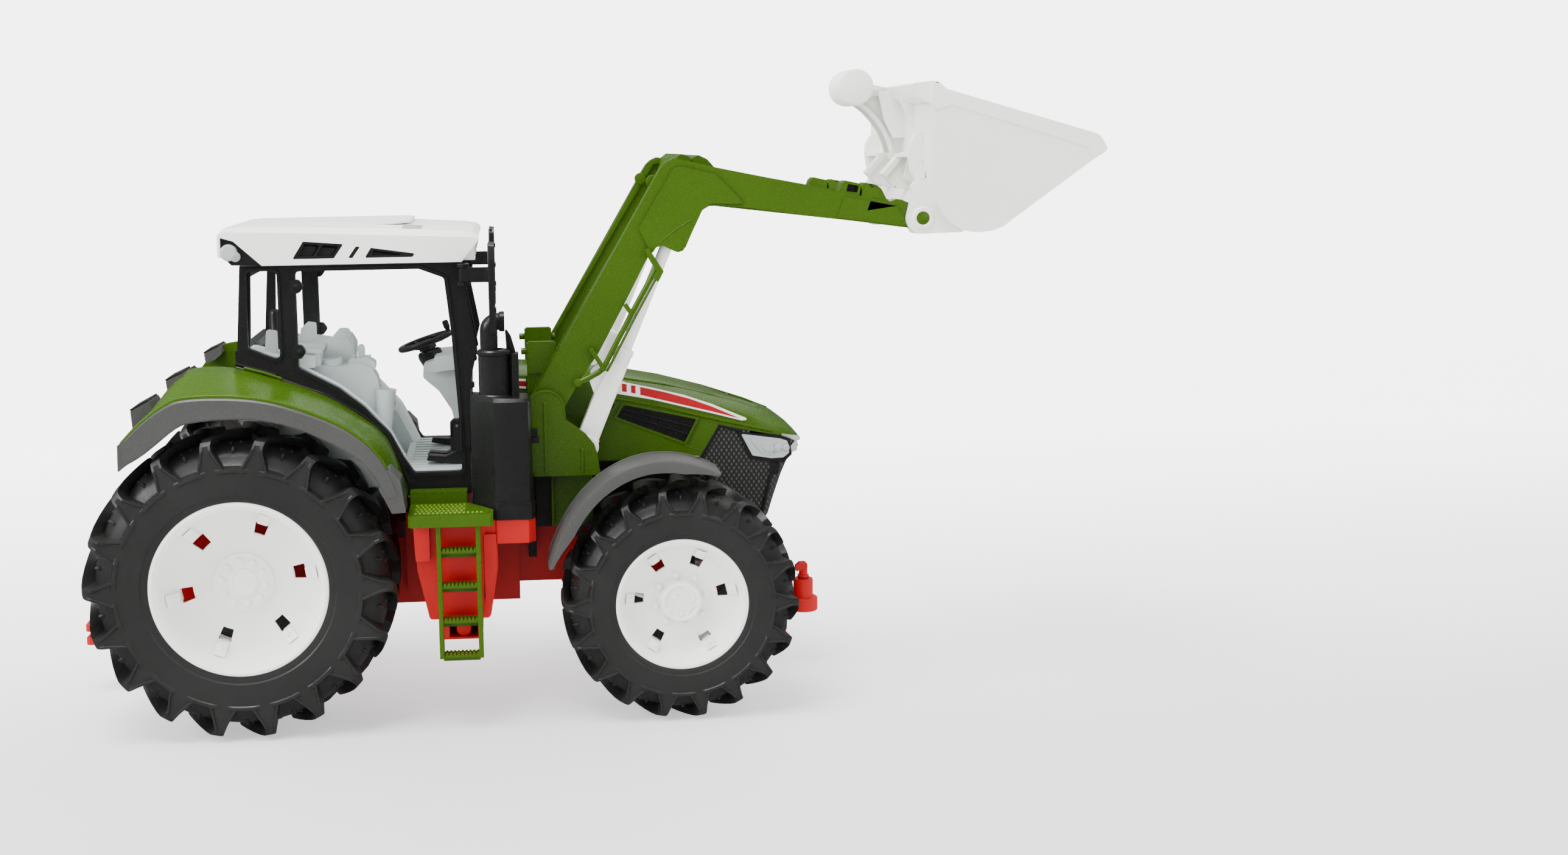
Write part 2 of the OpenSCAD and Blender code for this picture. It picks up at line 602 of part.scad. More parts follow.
module rim(rim_r, w, dish, hub_r, hub_len, bolts, bolt_ring) difference() {
    union() {
        rotate_extrude() polygon([[0, -dish + 3], [hub_r * 0.45, -dish + 3], [hub_r * 0.5, -dish + 1.5],
            [hub_r, -dish + 1.5], [hub_r + 1, -dish], [rim_r * 0.66, -dish + 1], [rim_r - 6, -dish + 7],
            [rim_r - 4.6, -3.5], [rim_r - 2.6, -1.4], [rim_r - 0.2, -1.8], [rim_r, -2.5], [rim_r, -w + 2.5],
            [rim_r - 2, -w + 2.5], [rim_r - 2.4, -dish - 1], [rim_r * 0.6, -dish - 2.5], [6.5, -dish - 2.5],
            [6.5, -hub_len], [0, -hub_len]]);
        for (i = [0:bolts - 1]) rotate([0, 0, i * 360 / bolts]) translate([bolt_ring, 0, -dish])
            cylinder(r = 1.4, h = 2.3);
    }
    for (i = [0:5]) rotate([0, 0, i * 60 + 9]) translate([rim_r - 12.5, -2, -dish - 6]) cube([5, 4, 12]);
    translate([0, 0, -hub_len - 1]) cylinder(r = stub_r + run_gap, h = hub_len - dish);
}

module rear_rim(left) color("whitesmoke") placed() wheel_place(left, 0, rear_out, rear_r) {
    rim(rear_rim_d / 2, rear_tyre_w, 16, 12.1, 44, 10, 8.9);
}

module front_rim(left) color("whitesmoke") placed() wheel_place(left, wheelbase, front_out, front_r) {
    rim(front_rim_d / 2, front_tyre_w, 8, 12.6, 36.6, 8, 10.8);
}

module rear_tyre(left) color([0.1, 0.1, 0.1]) placed() wheel_place(left, 0, rear_out, rear_r) {
    tyre(rear_r, rear_tyre_w, rear_rim_d / 2);
}

module front_tyre(left) color([0.1, 0.1, 0.1]) placed() wheel_place(left, wheelbase, front_out, front_r) {
    tyre(front_r, front_tyre_w, front_rim_d / 2);
}

// ---- Hitches ----
module hitches() color("red") placed() {
    // Rear: a fork with an upright hole
    difference() {
        block([rear_end_x, -6, 22], [-32, 6, 31]);
        block([rear_end_x - 1, -7, 25], [-62, 7, 28]);
        translate([-71, 0, 20]) cylinder(r = tow_hole_r, h = 13);
    }
    block([-38, -6, 31], [-32, 6, 39]);
    // Front: a socket on a bar
    difference() {
        union() {
            block([200, -6, 26], [236, 6, 31.5]);
            translate([240, 0, 25.5]) cylinder(r = 6.5, h = 6);
            translate([240, 0, 31.5]) cylinder(r = 4.4, h = 8.6);
        }
        translate([240, 0, 24]) cylinder(r = hitch_pin_r + run_gap, h = 18);
        block([241.8, -3, 31.5], [248, 3, 35.5]);
    }
}

module hitch_pin() color("red") placed() {
    translate([240, 0, 26]) cylinder(r = hitch_pin_r, h = 18);
    translate([240, 0, 40.4]) cylinder(r = 2.4, h = 1.4);
    side_plate([[238.4, 43], [241.6, 43], [241.6, 47.6], [238, 47.6], [236.4, 45.6], [236.4, 43.6],
        [237.4, 43.6], [238.4, 45]], -1.4, 1.4);
}

chassis();
engine_block();
rear_stub_axles();
chassis_screws();
cab_frame();
roof();
roof_corner_trims();
roof_lamps();
cab_floor();
driver_seat();
armrest_console();
dash_console();
pedals();
steering_wheel();
fender(false);  // fender_right
fender(true);  // fender_left
fender_trim(false);  // fender_trim_right
fender_trim(true);  // fender_trim_left
step(false);  // step_right
step(true);  // step_left
tank(false);  // tank_right
tank(true);  // tank_left
exhaust_housing();
exhaust_pipe();
wing_mirror(false);  // mirror_right
wing_mirror(true);  // mirror_left
bonnet();
grille();
headlamps();
bonnet_vents();
loader_bracket(false);  // loader_bracket_right
loader_bracket(true);  // loader_bracket_left
arm_pivot_pins();
arm(false);  // arm_right
arm(true);  // arm_left
arm_crosspieces();
arm_guards();
coupler_latches();
lift_tube(false);  // lift_tube_right
lift_tube(true);  // lift_tube_left
lift_rod(false);  // lift_rod_right
lift_rod(true);  // lift_rod_left
bucket();
bucket_back_frame();
bucket_handle();
front_axle();
axle_pivot_pin();
knuckle(false);  // knuckle_right
knuckle(true);  // knuckle_left
tie_rod();
rear_rim(false);  // rim_rear_right
rear_rim(true);  // rim_rear_left
front_rim(false);  // rim_front_right
front_rim(true);  // rim_front_left
rear_tyre(false);  // tyre_rear_right
rear_tyre(true);  // tyre_rear_left
front_tyre(false);  // tyre_front_right
front_tyre(true);  // tyre_front_left
hitches();
hitch_pin();
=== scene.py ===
"""Looks of the toy tractor with front loader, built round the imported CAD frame. Lengths are in millimetres in
the vehicle's own axes, where x counts from the rear axle; at() turns them into the frame's metres."""

import json
import math
import random

import bmesh
import bpy
from mathutils import Matrix, Vector
from mathutils.geometry import tessellate_polygon


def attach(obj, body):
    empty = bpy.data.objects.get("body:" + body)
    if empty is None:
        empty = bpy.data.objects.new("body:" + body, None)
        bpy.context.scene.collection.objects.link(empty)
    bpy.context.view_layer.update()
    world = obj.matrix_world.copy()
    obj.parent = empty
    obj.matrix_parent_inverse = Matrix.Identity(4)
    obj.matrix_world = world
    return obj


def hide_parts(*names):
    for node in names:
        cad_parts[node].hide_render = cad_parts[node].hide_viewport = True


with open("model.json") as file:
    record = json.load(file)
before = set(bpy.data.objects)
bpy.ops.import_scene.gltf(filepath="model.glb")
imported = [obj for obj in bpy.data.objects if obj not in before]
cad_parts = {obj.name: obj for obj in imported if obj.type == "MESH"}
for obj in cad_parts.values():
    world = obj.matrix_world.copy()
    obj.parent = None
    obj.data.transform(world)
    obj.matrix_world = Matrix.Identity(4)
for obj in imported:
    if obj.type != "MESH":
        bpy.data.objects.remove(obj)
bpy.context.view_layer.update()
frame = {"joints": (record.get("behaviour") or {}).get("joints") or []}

joint_at = {j["name"]: j.get("pos_m") for j in frame["joints"]}
REAR_AXLE = joint_at["wheel_rear_right_spin"]
FRONT_AXLE = joint_at["wheel_front_right_spin"]
MM = 0.001
REAR_R = REAR_AXLE[2] / MM
FRONT_R = FRONT_AXLE[2] / MM
WHEELBASE = (FRONT_AXLE[0] - REAR_AXLE[0]) / MM
RIGHT, LEFT = -1, 1
SIDES = (("right", RIGHT), ("left", LEFT))
random.seed(7)


def at(x, y, z):
    """A vehicle point in millimetres as a frame point in metres."""
    return Vector((REAR_AXLE[0] + x * MM, y * MM, z * MM))


# ---- Materials ----
def material(name, colour, rough, grain=900, bump=0.08, vary=0.06, speckle=0.0, coat=0.0, ior=1.25):
    """Moulded plastic: fine grain in roughness and bump, and a slow drift of colour."""
    m = bpy.data.materials.new(name)
    m.use_nodes = True
    tree = m.node_tree
    shader = tree.nodes["Principled BSDF"]
    shader.inputs["IOR"].default_value = ior
    shader.inputs["Coat Weight"].default_value = coat
    shader.inputs["Coat Roughness"].default_value = 0.12
    coords = tree.nodes.new("ShaderNodeTexCoord")

    def noise(scale, detail=3.0):
        n = tree.nodes.new("ShaderNodeTexNoise")
        n.inputs["Scale"].default_value = scale
        n.inputs["Detail"].default_value = detail
        tree.links.new(coords.outputs["Object"], n.inputs["Vector"])
        return n.outputs["Fac"]

    def spread(value, low, high, start=0.3, end=0.7):
        n = tree.nodes.new("ShaderNodeMapRange")
        n.inputs["From Min"].default_value = start
        n.inputs["From Max"].default_value = end
        n.inputs["To Min"].default_value = low
        n.inputs["To Max"].default_value = high
        tree.links.new(value, n.inputs["Value"])
        return n.outputs["Result"]

    slow = noise(28)
    fine = noise(grain)
    mix = tree.nodes.new("ShaderNodeMix")
    mix.data_type = "RGBA"
    mix.inputs[6].default_value = (*[c * (1 - vary) for c in colour], 1)
    mix.inputs[7].default_value = (*[min(1, c * (1 + vary)) for c in colour], 1)
    tree.links.new(spread(slow, 0, 1), mix.inputs[0])
    colour_out = mix.outputs[2]
    if speckle:
        dots = tree.nodes.new("ShaderNodeMix")
        dots.data_type = "RGBA"
        dots.inputs[7].default_value = (*[min(1, c + speckle) for c in colour], 1)
        tree.links.new(spread(noise(grain * 1.5, 1.0), 0, 1, 0.58, 0.72), dots.inputs[0])
        tree.links.new(colour_out, dots.inputs[6])
        colour_out = dots.outputs[2]
    tree.links.new(colour_out, shader.inputs["Base Color"])
    tree.links.new(spread(fine, rough * 0.85, rough * 1.15), shader.inputs["Roughness"])
    lift = tree.nodes.new("ShaderNodeBump")
    lift.inputs["Strength"].default_value = bump
    lift.inputs["Distance"].default_value = 0.0002
    tree.links.new(fine, lift.inputs["Height"])
    tree.links.new(lift.outputs["Normal"], shader.inputs["Normal"])
    return m


GREEN = material("green_plastic", (0.035, 0.081, 0.0018), 0.27, 2500, 0.004, 0.03, ior=1.36)
WHITE = material("white_plastic", (0.86, 0.86, 0.835), 0.36, 800, 0.04, 0.02, ior=1.4)
CREAM = material("bucket_plastic", (0.85, 0.845, 0.80), 0.38, 800, 0.04, 0.02, ior=1.4)
RED = material("red_plastic", (0.43, 0.007, 0.008), 0.34, 800, 0.05, 0.04)
# Red darkened as painted shade: the chassis, front axle and tie rod underneath, and the recess behind the
# tank's window
RED_PAINTED_SHADE = material("dark_red_plastic", (0.29, 0.0035, 0.004), 0.4, 800, 0.06, 0.04)
BLACK = material("black_plastic", (0.0085, 0.0085, 0.0085), 0.32, 1400, 0.15, 0.08, ior=1.45)
CHARCOAL = material("charcoal_plastic", (0.050, 0.050, 0.048), 0.40, 1800, 0.25, 0.08, speckle=0.015, ior=1.4)
RUBBER = material("tyre_rubber", (0.017, 0.017, 0.0165), 0.40, 900, 0.15, 0.12, ior=1.4)
GREY = material("grey_plastic", (0.50, 0.56, 0.55), 0.40, 900, 0.08, 0.04)
LAMP = material("lamp_plastic", (0.36, 0.385, 0.385), 0.16, 500, 0.04, 0.04, coat=0.4)
STEEL = material("steel", (0.55, 0.55, 0.55), 0.3, 1500, 0.08, 0.05)
STEEL.node_tree.nodes["Principled BSDF"].inputs["Metallic"].default_value = 1.0
STICKER_WHITE = material("sticker_white", (0.82, 0.82, 0.80), 0.3, 600, 0.02, 0.02)
STICKER_RED = material("sticker_red", (0.36, 0.008, 0.012), 0.3, 600, 0.02, 0.02)


def glowing_floor():
    """Pale floor that glows softly: more behind the toy, where the camera looks, than in front of it."""
    m = material("floor", (0.62, 0.62, 0.62), 0.7, 40, 0.01, 0.005)
    tree = m.node_tree
    shader = tree.nodes["Principled BSDF"]
    shader.inputs["Emission Color"].default_value = (1, 1, 1, 1)
    glow = tree.nodes.new("ShaderNodeMapRange")
    for socket, value in (("From Min", -0.1), ("From Max", 0.6), ("To Min", 0.5), ("To Max", 3.6)):
        glow.inputs[socket].default_value = value
    depth = tree.nodes.new("ShaderNodeSeparateXYZ")
    tree.links.new(tree.nodes["Texture Coordinate"].outputs["Object"], depth.inputs[0])
    tree.links.new(depth.outputs["Y"], glow.inputs["Value"])
    tree.links.new(glow.outputs["Result"], shader.inputs["Emission Strength"])
    return m


FLOOR = glowing_floor()


def mesh_cloth(name, colour, pitch):
    """Woven mesh relief of the grille: crossed waves in bump, and in colour as painted highlight on the raised
    weave and painted shade in its hollows.
    """
    m = material(name, colour, 0.45)
    tree = m.node_tree
    shader = tree.nodes["Principled BSDF"]
    coords = tree.nodes.new("ShaderNodeTexCoord")
    waves = []
    for turn in (0.6, -0.6):
        turned = tree.nodes.new("ShaderNodeMapping")
        turned.inputs["Rotation"].default_value = (0, turn, 0)
        wave = tree.nodes.new("ShaderNodeTexWave")
        wave.inputs["Scale"].default_value = 1 / (pitch * MM * 6.3)
        tree.links.new(coords.outputs["Object"], turned.inputs["Vector"])
        tree.links.new(turned.outputs["Vector"], wave.inputs["Vector"])
        waves.append(wave.outputs["Fac"])
    both = tree.nodes.new("ShaderNodeMath")
    both.operation = "MULTIPLY"
    for i in (0, 1):
        tree.links.new(waves[i], both.inputs[i])
    # Colour follows the weave's height: painted shade in the hollows, painted highlight on the raised threads
    mix = tree.nodes.new("ShaderNodeMix")
    mix.data_type = "RGBA"
    mix.inputs[6].default_value = (*[c * 0.45 for c in colour], 1)
    mix.inputs[7].default_value = (*[c * 2.4 for c in colour], 1)
    tree.links.new(both.outputs[0], mix.inputs[0])
    tree.links.new(mix.outputs[2], shader.inputs["Base Color"])
    lift = tree.nodes.new("ShaderNodeBump")
    lift.inputs["Strength"].default_value = 0.6
    lift.inputs["Distance"].default_value = 0.0003
    tree.links.new(both.outputs[0], lift.inputs["Height"])
    tree.links.new(lift.outputs["Normal"], shader.inputs["Normal"])
    return m


MESH = mesh_cloth("mesh_black", (0.030, 0.030, 0.028), 0.9)


# ---- Mesh building ----
def rounded(points, radius, steps=5):
    """The outline with each corner turned into an arc. radius is one number, or one per corner."""
    out = []
    count = len(points)
    for i, p in enumerate(points):
        r = radius[i] if isinstance(radius, (list, tuple)) else radius
        p = Vector(p)
        before = Vector(points[i - 1]) - p
        after = Vector(points[(i + 1) % count]) - p
        if r <= 0 or before.length < 1e-6 or after.length < 1e-6:
            out.append(tuple(p))
            continue
        angle = before.angle(after)
        if angle > 3.05 or angle < 0.05:
            out.append(tuple(p))
            continue
        cut = min(r / math.tan(angle / 2), before.length * 0.49, after.length * 0.49)
        start = p + before.normalized() * cut
        end = p + after.normalized() * cut
        for k in range(steps + 1):
            t = k / steps
            out.append(tuple(start * (1 - t) ** 2 + p * 2 * t * (1 - t) + end * t * t))
    return out


class Piece:
    """Collects shapes in one mesh, in vehicle millimetres, and turns them into one Blender object."""

    def __init__(self, name, body, slot, *replaced):
        self.name, self.body, self.slot, self.replaced = name, body, slot, replaced
        self.bm = bmesh.new()
        self.materials = []

    def _paint(self, faces, mat):
        if mat not in self.materials:
            self.materials.append(mat)
        for f in faces:
            f.material_index = self.materials.index(mat)
            f.smooth = True

    def plate(self, mat, outline, y0, y1, holes=(), side=1, frame_map=None):
        """A flat plate drawn in x and z, from y0 to y1, with holes; side -1 or 1 puts it right or left."""
        to = frame_map or (lambda a, b, h: (a, h * side, b))
        loops = [list(outline), *[list(h) for h in holes]]
        flat = [Vector((*p, 0)) for loop in loops for p in loop]
        tris = tessellate_polygon([[Vector((*p, 0)) for p in loop] for loop in loops])
        made = []
        rings = []
        for h in (y0, y1):
            verts = [self.bm.verts.new(at(*to(p.x, p.y, h))) for p in flat]
            rings.append(verts)
            for t in tris:
                made.append(self.bm.faces.new([verts[i] for i in t]))
        start = 0
        for loop in loops:
            n = len(loop)
            for i in range(n):
                a, b = start + i, start + (i + 1) % n
                made.append(self.bm.faces.new([rings[0][a], rings[0][b], rings[1][b], rings[1][a]]))
            start += n
        self._paint(made, mat)
        return made

    def plan(self, mat, outline, z0, z1, holes=(), side=1):
        """A flat plate drawn in x and y, from z0 to z1."""
        return self.plate(mat, outline, z0, z1, holes, frame_map=lambda a, b, h: (a, b * side, h))

    def across(self, mat, outline, x0, x1, holes=(), side=1):
        """A flat plate drawn in y and z, from x0 to x1."""
        return self.plate(mat, outline, x0, x1, holes, frame_map=lambda a, b, h: (h, a * side, b))

    def block(self, mat, low, high, side=1, soft=0.0):
        """A box between two corners, its upright edges rounded by soft."""
        outline = [(low[0], low[1]), (high[0], low[1]), (high[0], high[1]), (low[0], high[1])]
        return self.plan(mat, rounded(outline, soft) if soft else outline, low[2], high[2], side=side)

    def spin(self, mat, profile, centre, axis, segments=48, skip=None):
        """A lathe shape: profile is (radius, distance along axis) from centre."""
        axis = Vector(axis).normalized()
        u = axis.orthogonal().normalized()
        if abs(axis.y) > 0.99:
            u = Vector((1, 0, 0))
        w = axis.cross(u)
        rings = []
        for r, h in profile:
            if r < 1e-6:
                p = Vector(centre) + axis * h
                rings.append([self.bm.verts.new(at(*p))])
                continue
            ring = []
            for k in range(segments):
                a = 2 * math.pi * k / segments
                p = Vector(centre) + axis * h + (u * math.cos(a) + w * math.sin(a)) * r
                ring.append(self.bm.verts.new(at(*p)))
            rings.append(ring)
        return self._wrap(mat, rings, segments, skip)

    def _wrap(self, mat, rings, segments, skip=None):
        """Faces between rings of points; a ring of one point is a pole."""
        made = []
        for i in range(len(rings) - 1):
            one, two = rings[i], rings[i + 1]
            for k in range(segments):
                n = (k + 1) % segments
                if skip and skip(i, k):
                    continue
                if len(one) == 1:
                    made.append(self.bm.faces.new([one[0], two[n], two[k]]))
                elif len(two) == 1:
                    made.append(self.bm.faces.new([one[k], one[n], two[0]]))
                else:
                    made.append(self.bm.faces.new([one[k], one[n], two[n], two[k]]))
        self._paint(made, mat)
        return made

    def rod(self, mat, a, b, r, segments=24, soft=0.3):
        """A round bar from a to b with softened ends."""
        length = (Vector(b) - Vector(a)).length
        soft = min(soft, r * 0.4, length * 0.3)
        profile = [(0, 0), (r - soft, 0), (r - soft * 0.3, soft * 0.3), (r, soft), (r, length - soft),
            (r - soft * 0.3, length - soft * 0.3), (r - soft, length), (0, length)]
        return self.spin(mat, profile, a, Vector(b) - Vector(a), segments)

    def tube(self, mat, points, r, segments=14, closed=False):
        """A round bar that follows points; r is one radius or one per point."""
        pts = [Vector(p) for p in points]
        n = len(pts)
        rings = []
        last = None
        for i, p in enumerate(pts):
            ahead = pts[(i + 1) % n] if closed or i < n - 1 else p
            behind = pts[i - 1] if closed or i > 0 else p
            t = (ahead - behind).normalized()
            u = last - t * last.dot(t) if last else t.orthogonal()
            u.normalize()
            last = u
            w = t.cross(u)
            radius = r[i] if isinstance(r, (list, tuple)) else r
            rings.append([self.bm.verts.new(at(*(p + (u * math.cos(a) + w * math.sin(a)) * radius)))
                for a in [2 * math.pi * k / segments for k in range(segments)]])
        made = []
        for i in range(n if closed else n - 1):
            one, two = rings[i], rings[(i + 1) % n]
            for k in range(segments):
                m = (k + 1) % segments
                made.append(self.bm.faces.new([one[k], one[m], two[m], two[k]]))
        if not closed:
            made.append(self.bm.faces.new(rings[0][::-1]))
            made.append(self.bm.faces.new(rings[-1]))
        self._paint(made, mat)
        return made

    def loft(self, mat, sections, closed_ends=True):
        """Quads between sections, which are closed rings of the same number of (x, y, z) points."""
        rings = [[self.bm.verts.new(at(*p)) for p in s] for s in sections]
        made = []
        for one, two in zip(rings, rings[1:]):
            for k in range(len(one)):
                m = (k + 1) % len(one)
                made.append(self.bm.faces.new([one[k], one[m], two[m], two[k]]))
        if closed_ends:
            for ring in (rings[0][::-1], rings[-1]):
                made.append(self.bm.faces.new(ring))
        self._paint(made, mat)
        return made

    def dome(self, mat, centre, size, segments=12, rings=6, turn=0.0):
        """An ellipsoid bump, turned about the y axis by an angle in radians."""
        rows = []
        for i in range(rings + 1):
            h, r = math.cos(math.pi * i / rings), math.sin(math.pi * i / rings)
            row = []
            for k in range(segments if 0 < i < rings else 1):
                a = 2 * math.pi * k / segments
                x, y, z = size[0] * r * math.cos(a), size[1] * r * math.sin(a), size[2] * h
                row.append(self.bm.verts.new(at(centre[0] + x * math.cos(turn) + z * math.sin(turn),
                    centre[1] + y, centre[2] + z * math.cos(turn) - x * math.sin(turn))))
            rows.append(row)
        return self._wrap(mat, rows, segments)

    def done(self, bevel=0.35, angle=28, weld=False, solid=0.0, segments=2, flip=False, cut=None):
        """The finished object, riding on its body, with softened edges; cut is a Piece carved out of it."""
        if weld:
            bmesh.ops.remove_doubles(self.bm, verts=self.bm.verts, dist=0.01 * MM)
        bmesh.ops.recalc_face_normals(self.bm, faces=self.bm.faces)
        if flip:
            bmesh.ops.reverse_faces(self.bm, faces=self.bm.faces)
        mesh = bpy.data.meshes.new(self.name)
        self.bm.to_mesh(mesh)
        self.bm.free()
        for m in self.materials:
            mesh.materials.append(m)
        obj = bpy.data.objects.new(self.name, mesh)
        bpy.context.scene.collection.objects.link(obj)
        if cut:
            carve(obj, cut.bm)
        if solid:
            thick = obj.modifiers.new("wall", "SOLIDIFY")
            thick.thickness = solid * MM
            thick.offset = -1
        if bevel:
            soften(obj, bevel, angle, segments)
        else:
            smooth_by_angle(obj.data, angle)
        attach(obj, self.body)
        if self.replaced:
            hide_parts(*self.replaced)
        return obj


def carve(obj, bm):
    """Cuts the shape in bm out of the object's mesh."""
    bmesh.ops.recalc_face_normals(bm, faces=bm.faces)
    mesh = bpy.data.meshes.new("cutter")
    bm.to_mesh(mesh)
    bm.free()
    cutter = bpy.data.objects.new("cutter", mesh)
    bpy.context.scene.collection.objects.link(cutter)
    change = obj.modifiers.new("carve", "BOOLEAN")
    change.operation, change.solver, change.object = "DIFFERENCE", "EXACT", cutter
    result = bpy.data.meshes.new_from_object(obj.evaluated_get(bpy.context.evaluated_depsgraph_get()))
    obj.modifiers.remove(change)
    old, obj.data = obj.data, result
    bpy.data.objects.remove(cutter)
    bpy.data.meshes.remove(mesh)
    bpy.data.meshes.remove(old)
    obj.data.name = obj.name


def smooth_by_angle(mesh, angle):
    """Sharp edges where faces meet at more than the angle."""
    bm = bmesh.new()
    bm.from_mesh(mesh)
    for e in bm.edges:
        if len(e.link_faces) == 2 and e.calc_face_angle(0) > math.radians(angle):
            e.smooth = False
    for f in bm.faces:
        f.smooth = True
    bm.to_mesh(mesh)
    bm.free()


def soften(obj, width, angle=28, segments=2):
    """A small bevel on every sharp edge, which catches the light."""
    edge = obj.modifiers.new("soft_edges", "BEVEL")
    edge.width = width * MM
    edge.segments = segments
    edge.limit_method = "ANGLE"
    edge.angle_limit = math.radians(angle)
    edge.harden_normals = True
    edge.use_clamp_overlap = True


def arc(cx, cz, r, start, end, steps=12):
    """Points on a circle in x and z, from one angle to another in degrees."""
    return [(cx + r * math.cos(math.radians(start + (end - start) * k / steps)),
        cz + r * math.sin(math.radians(start + (end - start) * k / steps))) for k in range(steps + 1)]


# ---- Camera, floor and light ----
def add_camera():
    """The camera at the photograph's viewing angle: yaw 4.25, pitch 9.2 down and roll 0.88 degrees."""
    yaw, pitch, roll = [math.radians(v) for v in (4.25, 9.2, 0.88)]
    ahead = Vector((math.sin(yaw) * math.cos(pitch), math.cos(yaw) * math.cos(pitch), -math.sin(pitch)))
    right = Vector((math.cos(yaw), -math.sin(yaw), 0))
    down = ahead.cross(right)
    right_rolled = right * math.cos(roll) + down * math.sin(roll)
    down_rolled = down * math.cos(roll) - right * math.sin(roll)
    data = bpy.data.cameras.new("camera")
    data.sensor_width = 36.0
    data.lens = 40.37
    data.shift_x = 0.0972
    data.clip_start, data.clip_end = 0.01, 20
    camera = bpy.data.objects.new("camera", data)
    columns = Matrix((right_rolled, -down_rolled, -ahead)).transposed()
    camera.matrix_world = Matrix.Translation(at(106.2, -766.9, 235.6)) @ columns.to_4x4()
    bpy.context.scene.collection.objects.link(camera)
    bpy.context.scene.camera = camera


def add_light(name, place, target, size, power, colour=(1, 1, 1)):
    """A square soft light aimed at a point, both in metres."""
    data = bpy.data.lights.new(name, "AREA")
    data.shape = "SQUARE"
    data.size = size
    data.energy = power
    data.color = colour
    light = bpy.data.objects.new(name, data)
    light.location = place
    light.rotation_mode = "QUATERNION"
    light.rotation_quaternion = (Vector(target) - Vector(place)).to_track_quat("-Z", "Y")
    bpy.context.scene.collection.objects.link(light)


def add_floor():
    """A pale floor that curves up all round the toy, like a shallow studio bowl."""
    flat, bend, top, around = 1.95, 0.8, 2.6, 64
    profile = [(flat, 0)] + [(flat + bend * math.sin(t), bend - bend * math.cos(t)) for t in [math.pi / 20
        * k for k in range(1, 11)]] + [(flat + bend, top)]
    bm = bmesh.new()
    centre = bm.verts.new((0, 0, 0))
    turns = [2 * math.pi * k / around for k in range(around)]
    rings = [[bm.verts.new((r * math.cos(t), r * math.sin(t), z)) for t in turns] for r, z in profile]
    for k in range(around):
        n = (k + 1) % around
        bm.faces.new([centre, rings[0][k], rings[0][n]])
        for low, high in zip(rings, rings[1:]):
            bm.faces.new([low[n], low[k], high[k], high[n]]).smooth = True
    mesh = bpy.data.meshes.new("floor")
    bm.to_mesh(mesh)
    bm.free()
    mesh.materials.append(FLOOR)
    floor = bpy.data.objects.new("floor", mesh)
    bpy.context.scene.collection.objects.link(floor)
    floor.visible_glossy = False


def add_world():
    """Soft sky that is bright overhead and dim at the horizon."""
    world = bpy.data.worlds.new("studio")
    world.use_nodes = True
    tree = world.node_tree
    direction = tree.nodes.new("ShaderNodeTexCoord")
    lean = tree.nodes.new("ShaderNodeVectorMath")
    lean.operation = "DOT_PRODUCT"
    lean.inputs[1].default_value = (-0.15, 0.0, 0.98)
    tree.links.new(direction.outputs["Generated"], lean.inputs[0])
    span = tree.nodes.new("ShaderNodeMapRange")
    for socket, value in (("From Min", 0.12), ("From Max", 0.9), ("To Min", 0.16), ("To Max", 0.5)):
        span.inputs[socket].default_value = value
    tree.links.new(lean.outputs["Value"], span.inputs["Value"])
    tree.nodes["Background"].inputs["Color"].default_value = (0.97, 0.98, 1.0, 1)
    tree.links.new(span.outputs["Result"], tree.nodes["Background"].inputs["Strength"])
    bpy.context.scene.world = world


add_camera()
add_floor()
add_light("top", (-0.35, -0.30, 1.4), (0, 0, 0.05), 0.8, 36)
add_light("left_front", (-1.6, -0.9, 1.0), (0, 0, 0.1), 0.8, 27)
add_light("right_front", (1.3, -1.6, 0.7), (0, 0, 0.12), 0.9, 4)
add_light("back", (0.3, 1.5, 1.2), (0, 0, 0.1), 1.0, 3)
add_world()


# ---- Wheels ----
LUGS = 18
PERIOD = 2 * math.pi / LUGS


